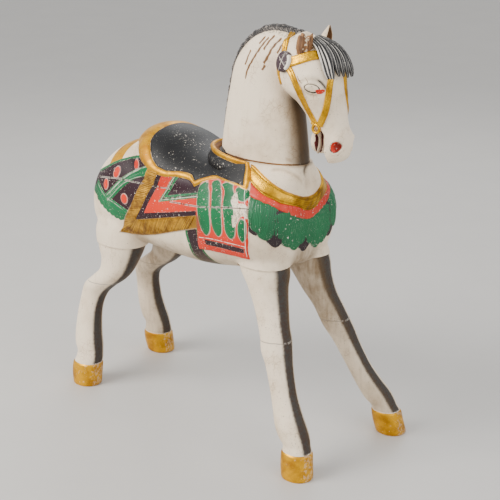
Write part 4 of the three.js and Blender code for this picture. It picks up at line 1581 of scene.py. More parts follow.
    def build(self) -> bpy.types.Object:
        """Fuses, carves, cuts and paints the trunk."""
        shells = [
            between_lines([(x, top, x, low, half) for x, top, low, half in TRUNK], 72, 6, TRUNK_SQUARENESS),
            between_lines([(x, top, x, low, half) for x, top, low, half in SEAT], 72, 6),
            limb(WITHERS, 1, 96),
            *self.stubs(),
        ]
        piece = fuse(Shell.joined(shells).piece("trunk"), self.voxel, self.soften, 1)
        skin = Skin(table_points(piece.data), point_normals(piece.data))
        painting = self.paint(skin)
        proud = self.carve(skin) + self.muscles(skin)
        carved = skin.points + skin.normals * proud[:, None]
        place_points(piece.data, carved)
        painting.skin = Skin(carved, skin.normals)
        cut(piece, self.recesses())
        painting.keep(piece.data)
        return dress(piece, PAINTWORK, "body")


def stepped(stations: Sequence[Sequence[float]], shift: float) -> list[tuple[float, ...]]:
    """Moves a hind leg forward or back, all of it from the hock down and less above."""
    return [
        (x + shift * min(1.0, max(0.0, (HIND_JOINT - z) / HOCK_DROP)), y, z, *rest)
        for x, y, z, *rest in stations
    ]


@dataclass
class Leg:
    """One leg from its glue joint to the sole."""

    name: str
    node: str
    stations: Sequence[Sequence[float]]
    hand: int
    joint: float
    hoof: float = 72.0
    ring_step: float = 3.6
    sides: int = 80
    stripe: float = 20.0
    stripe_fade: float = 15.0
    # Heights of the fine cracks round the leg where its blocks are glued
    rings: tuple[float, ...] = (345.0,)

    def rows(self) -> np.ndarray:
        """Level sections from the joint down, with the hoof's step and its eased sole."""
        dense = through(self.stations, np.linspace(0, len(self.stations) - 1, 900))[::-1]
        shaft = np.arange(self.joint - JOINT_GAP, self.hoof + 2.2, -self.ring_step)
        levels = np.concatenate([shaft, [self.hoof + 1.2, self.hoof + 0.4],
                                 np.linspace(self.hoof - 0.6, 0, 22)])
        rows = np.stack([np.interp(levels, dense[:, 2], dense[:, at]) for at in range(5)], axis=1)
        above = levels > self.hoof
        for at in (3, 4):
            slim = np.interp(self.hoof + 16, dense[:, 2], dense[:, at])
            near = above & (levels < self.hoof + 16)
            rows[near, at] = slim + (self.hoof + 16 - levels[near]) * 0.10
        rows[-1, 3:] -= 2.5
        rows[-2, 3:] -= 0.6
        first = np.where(levels <= self.hoof)[0][0]
        rows[first, 3:] -= 1.4
        return rows

    def paint(self, skin: Skin, rows: np.ndarray) -> Painting:
        """The black stripe down the front, the gold hoof, and the inner sides browned by stains and painted
        shade.
        """
        painting = Painting(skin)
        x, y, z = skin.points.T
        order = rows[::-1]
        centre = [np.interp(z, order[:, 2], order[:, at]) for at in (0, 1, 3, 4)]
        ahead = (x - centre[0]) / centre[2]
        aside = (y - self.hand * centre[1]) / centre[3]
        angle = abs(np.degrees(np.arctan2(aside, ahead)))
        stripe = 1 - smooth(self.stripe, self.stripe + self.stripe_fade, angle)
        painting.mark("shade", stripe * smooth(self.hoof, self.hoof + 2, z))
        painting.lay(Coat.GOLD, self.hoof + 0.5 - z)
        # Painted shade, with stain streaks: the leg browns on the side that faces the other legs, more
        # towards the top
        inner = (
            smooth(-0.1, 0.6, -self.hand * aside) * (0.4 + 0.6 * smooth(self.joint - 280, self.joint - 40, z))
        )
        painting.mark("stain_and_shade", inner * (z > self.hoof + 2))
        painting.mark("wear", 0.15 + 0.45 * stripe)
        for height in self.rings:
            strength = 1 - smooth(110, 170, angle)
            painting.note("seam", z - height - 2.0 * np.sin(np.radians(angle) * 2), 0.55 * strength)
        painting.note("line", z - self.hoof - 1.5, np.full(len(x), 0.9))
        return painting

    def build(self) -> bpy.types.Object:
        """Lofts and paints the leg."""
        rows = self.rows()
        piece = limb_of(rows, self.hand, self.sides).piece(self.name)
        skin = Skin(table_points(piece.data), point_normals(piece.data))
        self.paint(skin, rows).keep(piece.data)
        sharpen(piece, 35)
        return dress(piece, PAINTWORK, self.node)


def sharpen(piece: bpy.types.Object, degrees: float) -> None:
    """Keeps the edges sharp where two faces meet at more than an angle."""
    made = bmesh.new()
    made.from_mesh(piece.data)
    for edge in made.edges:
        edge.smooth = len(edge.link_faces) != 2 or edge.calc_face_angle(0) < math.radians(degrees)
    made.to_mesh(piece.data)
    made.free()


# What is painted and carved on the face and the neck, seen from the side, and alike on both sides
EYE = Outline(((371, 1069), (377, 1060), (388, 1055), (398, 1056), (405, 1062), (401, 1071), (390, 1077),
               (378, 1076)),
              curved=True)
EYE_CORNER = Outline(((398, 1061), (405, 1064), (413, 1061), (409, 1052), (401, 1052)), curved=True)
NOSTRIL = Outline(((437, 905), (442, 920), (452, 925), (459, 914), (452, 898), (443, 893)), curved=True)
MOUTH = Outline(((374, 950), (408, 957), (422, 938), (423, 905), (420, 880), (412, 838), (362, 838),
                 (368, 880),
                 (374, 905)))
FACE_LINES = (
    Stroke(((439, 999), (445, 969), (455, 951), (467, 938))), Stroke(((466, 914), (460, 897), (443, 880))),
)
BROW_LINES = (
    Stroke(((347, 1096), (358, 1083), (366, 1087))), Stroke(((372, 1094), (382, 1079))),
    Stroke(((352, 1087), (362, 1078))),
)
EYE_SMUDGE = Stroke(((399, 1090), (409, 1077), (415, 1062)))
THROAT_FOLD = Stroke(((250, 1092), (264, 1066), (286, 1040), (306, 1020)))
# Bare streaks down from the crest, on the right side alone
CREST_STREAKS = (
    Stroke(((198, 1176), (176, 1142), (158, 1113), (143, 1087), (137, 1060))),
    Stroke(((244, 1178), (227, 1153), (216, 1130), (204, 1112))),
    Stroke(((264, 1173), (256, 1156), (250, 1144))),
    Stroke(((206, 1102), (200, 1092))), Stroke(((140, 1134), (132, 1112), (128, 1098))),
    Stroke(((182, 1176), (172, 1160))), Stroke(((217, 1182), (206, 1164), (198, 1148))),
)


@dataclass
class NeckAndHead:
    """The neck and the head as one carving above the neck joint."""

    voxel: float = 4.8
    soften: int = 4
    mouth_depth: float = 12.0
    mouth: tuple[tuple[float, float], ...] = (
        (380, 945), (400, 951), (416, 934), (417, 905), (414, 880), (408, 838), (370, 838), (376, 880),
        (380, 905),
    )
    nostril: tuple[float, float, float] = (449, 36, 909)
    nostril_size: tuple[float, float, float] = (11, 18, 16)
    # The face's painted sides start this far off its middle
    side_start: float = 14.0
    chin: tuple[float, float, float] = (366, 0, 908)
    chin_size: tuple[float, float, float] = (26, 36, 36)
    # Swellings and hollows: place on the right side, spread and height
    swellings: tuple[tuple[float, float, float, float, float], ...] = (
        (300, 60, 1085, 30, 5.0), (388, 64, 1070, 20, -3.5), (380, 66, 1094, 16, 4.5),
        (398, 52, 1044, 16, 2.5),
        (352, 74, 1052, 22, 2.5), (428, 30, 1000, 22, 2.0), (446, 30, 928, 13, 3.5), (470, 20, 905, 14, 2.5),
        (440, 32, 868, 14, 3.0),
    )

    def build(self) -> bpy.types.Object:
        """Fuses, opens, shapes and paints the neck and head."""
        shells = [
            between_lines(NECK, 72, 8, 2.0, NECK_TAPER, 8),
            between_lines(HEAD, 72, 8),
            Shell.ball(self.chin, self.chin_size),
        ]
        piece = fuse(Shell.joined(shells).piece("neck_with_head"), self.voxel, self.soften)
        tools = [side_block(self.mouth, hand * self.mouth_depth, hand * 110) for hand in SIDES.values()]
        x, y, z = self.nostril
        tools += [Shell.ball((x, hand * y, z), self.nostril_size) for hand in SIDES.values()]
        cut(piece, tools)
        fuse(piece, self.voxel, 2, 1)
        skin = Skin(table_points(piece.data), point_normals(piece.data))
        shaped = skin.points + skin.normals * self.relief(skin)[:, None]
        place_points(piece.data, shaped)
        skin = Skin(shaped, point_normals(piece.data))
        painting = self.paint(skin)
        below = ((-90, 700), (400, 700), (400, NECK_JOINT + JOINT_GAP), (-90, NECK_JOINT + JOINT_GAP))
        cut(piece, [side_block(below, -180, 180)])
        painting.keep(piece.data)
        return dress(piece, PAINTWORK, "neck_and_head")

    def relief(self, skin: Skin) -> np.ndarray:
        """The swellings and hollows of the face."""
        x, y, z = skin.points.T
        proud = np.zeros(len(x))
        for at_x, at_y, at_z, spread, height in self.swellings:
            gap = np.sqrt((x - at_x) ** 2 + (abs(y) - at_y) ** 2 + (z - at_z) ** 2)
            proud += height * bell(gap, spread)
        sides = smooth(self.side_start, self.side_start + 8, abs(y))
        eye, nostril = EYE.depth(skin), NOSTRIL.depth(skin)
        proud += sides * (5.0 * crown(eye, 10) + 2.6 * bell(eye + 3.5, 2.6) - 2.0 * bell(eye + 12, 6))
        proud += sides * 2.2 * bell(nostril + 3.5, 3.0)
        for line in FACE_LINES:
            side, within = line.gap(skin)
            proud -= sides * 1.8 * bell(side, 3.0) * smooth(-6, 8, within)
        return proud

    def paint(self, skin: Skin) -> Painting:
        """The dark throat, the streaked crest, the glue line, and the eye, nostril and mouth."""
        painting = Painting(skin)
        x, y, z = skin.points.T
        throat = (
            (1 - smooth(12, 50, abs(y))) * smooth(0.1, 0.45, skin.normals[:, 0]) * (1 - smooth(1000, 1070, z))
        )
        painting.mark("shade", throat * (x < 330))
        # The front of the neck, on both sides of the black stripe, is browned
        painting.mark("stain_and_shade", 0.45 * (1 - smooth(30, 62, abs(y))) * smooth(0.1, 0.5, skin.normals[:, 0])
                      * (x < 320))
        painting.lay(Coat.WOOD, NECK_JOINT + 5 - z)
        painting.mark("wear", np.full(len(x), 0.12))
        for streak in CREST_STREAKS:
            side, within = streak.gap(skin)
            torn = 3.6 + 1.8 * np.sin(z / 5.0) * np.sin(x / 3.5) - abs(side)
            painting.lay(Coat.WOOD, np.where(y < 0, np.minimum(torn, within + 3), -FAR))
            painting.mark("shade", 0.45 * bell(side, 4) * (within > 0) * (y < 0))
        crest = smooth(0.55, 0.85, skin.normals[:, 2]) * (x < 300) * (z > 1150)
        painting.mark("wear", 0.5 * crest)
        sides = np.where(abs(y) > self.side_start, FAR, -FAR)
        # Painted shade: brown in the fold of the throat behind the jaw
        fold, within = THROAT_FOLD.gap(skin)
        painting.mark("stain_and_shade", 0.55 * bell(fold, 13) * smooth(-10, 14, within) * (sides > 0))
        painting.lay(Coat.MAROON, np.minimum(MOUTH.depth(skin), np.where(abs(y) < 40, sides, -FAR)))
        nostril, eye = NOSTRIL.depth(skin), EYE.depth(skin)
        # Painted shadow: black on the nostril's rear half only, left as a rim round the red, and painted
        # shade deep inside the nostril
        painting.lay(Coat.BLACK, np.minimum(np.where(x < 452, nostril + 1.2, -FAR), sides))
        painting.lay(Coat.RED, np.minimum(nostril - 0.6, sides))
        painting.mark("shade", 0.6 * (1 - smooth(28, 38, abs(y))) * (nostril > -2) * (sides > 0))
        painting.lay(Coat.BLACK, np.minimum(1.4 + 0.7 * smooth(1066, 1056, z) - abs(eye), sides))
        painting.lay(Coat.RED, np.minimum(EYE_CORNER.depth(skin), sides))
        # The face lines are painted dark in their carved creases, which is painted shade; the brow lines are
        # scratches through to the wood
        for line in (*FACE_LINES, *BROW_LINES):
            side, within = line.gap(skin)
            thin = 1.0 - abs(side) if line in BROW_LINES else 0.7 - abs(side)
            painting.lay(Coat.WOOD, np.minimum(np.minimum(thin, within + 1), sides))
        smudge, within = EYE_SMUDGE.gap(skin)
        painting.mark("shade", 0.95 * bell(smudge, 4.5) * smooth(-6, 8, within) * (sides > 0))
        painting.lay(Coat.BLACK, np.minimum(np.minimum(1.0 - abs(smudge), within - 3), sides))
        # Painted shade: brown on the head's faces that look down
        painting.mark("stain_and_shade", 0.6 * smooth(0.3, 0.8, -skin.normals[:, 2]) * (z > 960))
        return painting


def slab(
    base: np.ndarray, normals: np.ndarray, heights: np.ndarray, sink: float = 3.0
) -> Shell:
    """A closed plate over a grid of places on the wood.

    Args:
        base: The places, along by across.
        normals: The way out at each.
        heights: How far the plate's top stands out.
        sink: How far its underside lies in the wood.

    Returns:
        The shell, its top's points first.
    """
    along, across = heights.shape
    top = (base + normals * heights[:, :, None]).reshape(-1, 3)
    low = (base - normals * sink).reshape(-1, 3)
    count = along * across
    faces = []
    for a in range(along - 1):
        for b in range(across - 1):
            quad = (a * across + b, a * across + b + 1, (a + 1) * across + b + 1, (a + 1) * across + b)
            faces.append(quad)
            faces.append(tuple(corner + count for corner in reversed(quad)))
    edge = [(0, b) for b in range(across)] + [(a, across - 1) for a in range(1, along)]
    edge += [(along - 1, b) for b in range(across - 2, -1, -1)] + [(a, 0) for a in range(along - 2, 0, -1)]
    loop = [a * across + b for a, b in edge]
    for here, there in zip(loop, loop[1:] + loop[:1]):
        faces.append((there, here, here + count, there + count))
    return Shell(np.concatenate([top, low]), faces)


@dataclass
class Lock:
    """A carved lock of hair: a path, and its half width and half thickness along it."""

    path: Sequence[Sequence[float]]
    sizes: Sequence[Sequence[float]]
    broad: tuple[float, float, float] = (0.0, 1.0, 0.0)
    flutes: int = 4
    depth: float = 0.32
    sway: float = 0.25
    sides: int = 44
    step: float = 4.5

    def shell(self) -> tuple[Shell, np.ndarray, np.ndarray]:
        """The lock's shell, and where its ridges and hollows are."""
        rows = evenly(np.hstack([np.array(self.path, float), np.array(self.sizes, float)]), self.step)
        points, sizes = rows[:, :3], rows[:, 3:]
        ahead = np.gradient(points, axis=0)
        ahead /= np.linalg.norm(ahead, axis=1, keepdims=True)
        wide = np.array(self.broad) - ahead * (ahead @ np.array(self.broad))[:, None]
        wide /= np.linalg.norm(wide, axis=1, keepdims=True)
        thick = np.cross(ahead, wide)
        angles = np.linspace(0, 2 * math.pi, self.sides, endpoint=False)
        across, out = np.cos(angles), np.sin(angles)
        rings, ridges = [], []
        for at, (point, (half, deep)) in enumerate(zip(points, sizes)):
            drift = self.sway * math.sin(3.0 * at / len(points) * math.pi)
            wave = 0.5 + 0.5 * np.cos((across + drift * (1 - across**2)) * self.flutes * math.pi)
            swell = 1 - self.depth * (1 - wave)
            ring = point + np.outer(across * half, wide[at]) + np.outer(out * deep * swell, thick[at])
            rings.append(ring)
            ridges.append(wave)
        ridge = np.array(ridges).ravel()
        return Shell.loft(np.array(rings)), ridge, 1 - ridge


def locks_piece(name: str, locks: Sequence[Lock], finish: Finish) -> bpy.types.Object:
    """Several locks as one piece, with their ridges and hollows marked."""
    shells, ridges, hollows = zip(*(lock.shell() for lock in locks))
    layers = {"ridge": np.concatenate(ridges), "hollow": np.concatenate(hollows)}
    return dress(Shell.joined(shells).piece(name, layers), finish)


@dataclass
class Bridle:
    """The gilded straps on the head, with a rosette, a ring and a bit on each side."""

    strap: float = 9.5
    brow: float = 14.5
    latch_half: float = 12.0
    thick: float = 4.6
    groove: float = 0.5
    rosette_radius: float = 28.5
    ring_radius: float = 11.0
    cheek: tuple = ((298, 70, 1120), (324, 79, 1103), (351, 80, 1062), (367, 61, 1010), (388, 49, 966))
    nose: tuple = ((424, 24, 1112), (422, 30, 1087), (424, 38, 1048), (419, 46, 1006), (402, 48, 964))
    crown: tuple = ((282, 66, 1140), (278, 58, 1158), (274, 44, 1178), (269, 22, 1194), (266, 0, 1199))
    browband: tuple = ((306, 72, 1126), (322, 71, 1131), (345, 64, 1140), (365, 49, 1148), (380, 29, 1151),
                       (388, 0, 1155))
    latch: tuple = ((270, 72, 1122), (257, 71, 1104), (252, 69, 1086), (257, 68, 1070), (266, 64, 1058))
    rosette_at: tuple[float, float, float] = (292, 70, 1126)
    ring_at: tuple[float, float, float] = (390, 50, 953)
    bit: tuple = ((393, 44, 944), (394, 40, 934), (393, 36, 920), (390, 33, 905), (384, 31, 890),
                  (380, 31, 880))

    def across(self, points: Sequence[Sequence[float]]) -> list[tuple[float, ...]]:
        """A path from the right side over the middle to the left."""
        right = [(x, -y, z) for x, y, z in points]
        return right + [(x, y, z) for x, y, z in reversed(points[:-1])]

    def build(self, wood: Carved) -> list[bpy.types.Object]:
        """Carves every part of the bridle on the head."""
        narrow, broad = [], [wood.trail(self.across(self.browband), 1.2)]
        middle, low = [wood.trail(self.across(self.crown), 1.2)], []
        for hand in SIDES.values():
            for path in (self.cheek, self.nose):
                narrow.append(wood.trail([(x, hand * y, z) for x, y, z in path], 1.2))
            low.append(wood.trail([(x, hand * y, z) for x, y, z in self.latch], 2.0))
        made = []
        for name, trails, half in (
            ("bridle_cheek_and_nose_straps", narrow, self.strap), ("bridle_browband", broad, self.brow),
            ("bridle_crown", middle, 10.0), ("bridle_throat_latch", low, self.latch_half),
        ):
            piece = trails_piece(name, trails)
            grow(
                piece, carved_band(), half_width=half * MM, thickness=self.thick * MM, groove=self.groove,
                corners=28, finish=GOLD_LEAF.material(),
            )
            made.append(dress(piece, GOLD_LEAF))
        made += [self.rosettes(wood), self.rings(wood), self.bits()]
        return made

    def bits(self) -> bpy.types.Object:
        """The pale curved strip in each corner of the mouth, and the knob that it hangs from."""
        trails = []
        for hand in SIDES.values():
            points = evenly([(x, hand * y, z) for x, y, z in self.bit], 2.0)
            facing = np.tile(np.array([0.35, hand * 0.93, 0.1]), (len(points), 1))
            width = np.interp(np.linspace(0, 1, len(points)), (0, 0.25, 0.8, 1), (1.5, 0.8, 1.0, 0.6))
            trails.append(Trail(points, facing / np.linalg.norm(facing[0]), width))
        piece = trails_piece("bit", trails)
        grow(
            piece, carved_band(), half_width=5.0 * MM, thickness=4.0 * MM, groove=0.0, corners=14,
            finish=BONE_PAINT.material(),
        )
        return dress(piece, BONE_PAINT)

    def rosettes(self, wood: Carved) -> bpy.types.Object:
        """The two round bosses with their crossed pale bars."""
        shells, ridges = [], []
        for hand in SIDES.values():
            x, y, z = self.rosette_at
            place, out = wood.nearest((x, hand * y, z))
            first = np.cross(out, (0, 0, 1.0))
            first /= np.linalg.norm(first)
            second = np.cross(out, first)
            radii = np.concatenate([np.linspace(0.6, self.rosette_radius, 26),
                                    [self.rosette_radius + 0.4] * 2])
            angles = np.linspace(0, 2 * math.pi, 72, endpoint=False)
            rings = []
            for at, radius in enumerate(radii):
                a, b = radius * np.cos(angles), radius * np.sin(angles)
                bars = np.maximum(bell((a - b * 0.16) / 1.013, 2.3), bell((b + a * 0.62) / 1.177, 2.3))
                rim = smooth(self.rosette_radius - 8, self.rosette_radius - 5, np.full(72, radius))
                mark = np.maximum(bars * (radius < self.rosette_radius),
                                  rim * smooth(0.45, 0.75, -a / max(radius, 1)))
                dome = 7 + 4 * math.sqrt(max(0.0, 1 - (radius / (self.rosette_radius + 1)) ** 2))
                high = dome + 1.3 * mark
                if at >= len(radii) - 1:
                    high = np.full(72, -14.0)
                rings.append(place + np.outer(a, first) + np.outer(b, second) + np.outer(high, out))
                ridges.append(mark)
            shells.append(Shell.loft(np.array(rings)))
        piece = Shell.joined(shells).piece("bridle_rosettes", {"ridge": np.concatenate(ridges)})
        return dress(piece, ROSETTE_PAINT)

    def rings(self, wood: Carved) -> bpy.types.Object:
        """The gilded rings at the ends of the bit."""
        trails = []
        for hand in SIDES.values():
            x, y, z = self.ring_at
            place, out = wood.nearest((x, hand * y, z))
            out = np.array([0.1, hand * 1.0, 0.0]) / math.hypot(0.1, 1.0)
            first, second = np.array([1.0, 0, 0]) - out * out[0], np.array([0, 0, 1.0])
            angles = np.linspace(0, 2 * math.pi, 40, endpoint=False)
            ring = np.outer(np.cos(angles), first) + np.outer(np.sin(angles), second)
            round_place = place + out * 3.5 + ring * self.ring_radius
            trails.append(Trail(round_place, np.tile(out, (40, 1)), None, True))
            tab = place + out * 3.0
            run = np.array([[-9.0, 0, 9.0], [-5.0, 0, 5.0], [0.0, 0, 0.0]])
            trails.append(Trail(tab + run + (-4, 0, 8), np.tile(out, (3, 1)), np.array([1.6, 1.6, 1.4])))
        piece = trails_piece("bit_rings", trails)
        grow(
            piece, carved_band(), half_width=3.8 * MM, thickness=4.6 * MM, groove=0.0, corners=16,
            finish=GOLD_LEAF.material(),
        )
        return dress(piece, GOLD_LEAF)


@dataclass
class Hair:
    """The forelock, the mane and the tail."""

    seed: int = 7

    def forelock(self) -> bpy.types.Object:
        """Locks that part over the forehead."""
        near = (
            ((350, -29, 1186), (377, -33, 1171), (395, -39, 1149), (408, -43, 1127), (419, -45, 1106),
             (426, -45, 1092)),
            ((350, -23, 1189), (383, -29, 1171), (403, -35, 1149), (417, -38, 1127), (427, -40, 1106),
             (432, -40, 1092)),
            ((352, -17, 1191), (389, -24, 1172), (410, -29, 1151), (425, -33, 1129), (433, -35, 1108),
             (437, -36, 1092)),
        )
        over = (
            ((350, -12, 1193), (386, -14, 1179), (411, -17, 1159), (430, -21, 1136), (438, -21, 1114),
             (440, -17, 1098)),
            ((350, -5, 1194), (386, -4, 1181), (413, -4, 1162), (433, -6, 1139), (442, -6, 1116),
             (443, -2, 1096)),
            ((350, 2, 1193), (387, 6, 1180), (415, 8, 1161), (435, 8, 1139), (444, 9, 1116), (446, 12, 1092)),
            ((350, 10, 1191), (387, 16, 1177), (414, 22, 1157), (433, 26, 1133), (442, 29, 1110),
             (446, 28, 1092)),
            ((350, 18, 1187), (383, 28, 1173), (407, 36, 1151), (423, 42, 1125), (432, 44, 1103),
             (436, 42, 1090)),
        )
        slim = ((4, 4), (7, 6), (7, 7), (7, 7), (6, 5), (3, 3))
        full = ((5, 5), (9, 7), (10, 8), (10, 8), (8, 6), (3, 3))
        locks = [Lock(path, slim, flutes=2, sway=0.1) for path in near]
        locks += [Lock(path, full, flutes=3, sway=0.15) for path in over]
        return locks_piece("forelock", locks, HAIR_BLACK)

    def mane(self, wood: Carved) -> bpy.types.Object:
        """Locks that start on the crest and fall down the left side of the neck."""
        chance = np.random.default_rng(self.seed)
        crest = evenly([(x, z) for x, z, *_ in NECK[1:]], 2.0)
        locks = []
        for share in np.linspace(0.0, 0.985, 44):
            at = int(share * (len(crest) - 1))
            x, z = crest[at]
            back = crest[max(0, at - 4)] - crest[min(len(crest) - 1, at + 4)]
            back = back / np.linalg.norm(back)
            out = np.array([-back[1], back[0]])
            if out @ np.array([x - 160, z - 1000]) < 0:
                out = -out
            fall = 95 + 60 * math.sin(share * 2.6) + chance.uniform(-14, 14)
            proud = 4.5 + 2.0 * float(smooth(0.45, 0.65, share)) - 4.5 * float(smooth(0.78, 0.98, share))
            lift, slant = proud + chance.uniform(-2.0, 2.0), back * (12 + chance.uniform(0, 12))
            path = [
                (x - out[0] * 6 - slant[0], -12.0, z - out[1] * 6 - slant[1]),
                (x + out[0] * lift, -3.0, z + out[1] * lift),
                (x + out[0] * (lift + 1), 9.0, z + out[1] * (lift + 1)),
            ]
            for step in (0.25, 0.5, 0.75, 1.0):
                down = np.array([x, z]) - out * fall * 0.55 * step + back * fall * 0.55 * step
                place, normal = wood.cast((down[0], 200, down[1]), (0, -1, 0))
                path.append(tuple(place + normal * (5.0 if step < 1 else 1.0)))
            locks.append(Lock(
                path, ((5, 4), (9, 6), (10, 6), (11, 8), (11, 8), (9, 7), (3, 3)), (back[0], 0.0, back[1]), 3,
            ))
        return locks_piece("mane", locks, MANE_BLACK)

    def tail(self) -> bpy.types.Object:
        """The carved tail, in heavy locks down the haunches."""
        locks = []
        for out, back, spread, low in (
            (-16, 2, -1.0, 40), (16, 2, 1.0, 34), (0, -6, 0.0, 0), (-8, 6, -0.6, 60), (9, 6, 0.6, 52),
        ):
            path = (
                (-462, out * 0.4, 664), (-492 + back, out * 0.7, 652), (-512 + back, out, 612),
                (-522 + back, out * 1.15, 540), (-524 + back, out + spread * 2, 470),
                (-517 + back, out * 0.4, 392 + low),
            )
            locks.append(Lock(path, ((9, 8), (14, 12), (19, 14), (21, 15), (16, 12), (4, 4)), flutes=5))
        return locks_piece("tail", locks, HAIR_BLACK)

    def build(self, wood: Carved) -> list[bpy.types.Object]:
        """All the hair."""
        return [self.forelock(), self.mane(wood), self.tail()]


@dataclass
class Ears:
    """The whole left ear and the broken stump of the right one."""

    path: tuple = ((336, 42, 1146), (336, 45, 1172), (341, 48, 1196), (347, 49, 1218.0))
    sizes: tuple = ((24, 18), (24, 18), (15, 13), (2.5, 2.5))
    stump_path: tuple = ((334, -38, 1146), (339, -42, 1174), (341, -43, 1198))
    stump_sizes: tuple = ((23, 21), (23, 21), (20, 17))
    broad: tuple[float, float, float] = (-0.1, 0.995, 0.0)

    def ear(self) -> bpy.types.Object:
        """The left ear, hollow in front."""
        rows = evenly(np.hstack([np.array(self.path, float), np.array(self.sizes, float)]), 2.5)
        wide = np.array(self.broad) / np.linalg.norm(self.broad)
        angles = np.linspace(0, 2 * math.pi, 56, endpoint=False)
        across, out = np.cos(angles), np.sin(angles)
        front = np.cross(wide, (0, 0, 1.0))
        rings, inner = [], []
        for x, y, z, half, deep in rows:
            dish = np.where(out > 0, 1 - 1.55 * np.clip(1 - across**2 / 0.62, 0, 1), 1.0)
            ring = np.array([x, y, z]) + np.outer(across * half, wide) + np.outer(out * deep * dish, front)
            rings.append(ring)
            inner.append(np.where(out > 0, (0.72 - abs(across)) * half, -8.0))
        piece = Shell.loft(np.array(rings)).piece("left_ear")
        source = Skin(np.array(rings).reshape(-1, 3), np.zeros((len(rings) * 56, 3)))
        painting = Painting(source)
        painting.lay(Coat.WOOD, np.array(inner).ravel())
        painting.mark("wear", np.full(len(source.points), 0.2))
        painting.keep(piece.data)
        return dress(piece, PAINTWORK)

    def stump(self) -> bpy.types.Object:
        """The right ear, broken off across the grain."""
        rows = evenly(np.hstack([np.array(self.stump_path, float), np.array(self.stump_sizes, float)]), 2.5)
        wide = np.array((0.45, 0.9, 0.0)) / math.hypot(0.45, 0.9)
        front = np.cross(wide, (0, 0, 1.0))
        angles = np.linspace(0, 2 * math.pi, 56, endpoint=False)
        across, out = np.cos(angles), np.sin(angles)
        rough = 1 + 0.05 * np.sin(angles * 9) + 0.03 * np.sin(angles * 17 + 1)
        rings = []
        for at, (x, y, z, half, deep) in enumerate(rows):
            share = at / (len(rows) - 1)
            ragged = (
                share**4
                * (5 * np.sin(angles * 3 + 0.6) + 3.0 * np.sin(angles * 7) + 1.5 * np.sin(angles * 13))
            )
            ring = (
                np.array([x, y, z]) + np.outer(across * half * rough, wide)
                + np.outer(out * deep * rough, front)
            )
            ring[:, 2] += ragged
            rings.append(ring)
        last = rings[-1]
        centre = last.mean(axis=0)
        rings.append(centre + (last - centre) * 0.6 - (0, 0, 3.0))
        rings.append(centre + (last - centre) * 0.25 - (0, 0, 1.0))
        piece = Shell.loft(np.array(rings)).piece("right_ear_stump")
        return dress(piece, BROKEN_WOOD)

    def build(self) -> list[bpy.types.Object]:
        """Both ears."""
        return [self.ear(), self.stump()]


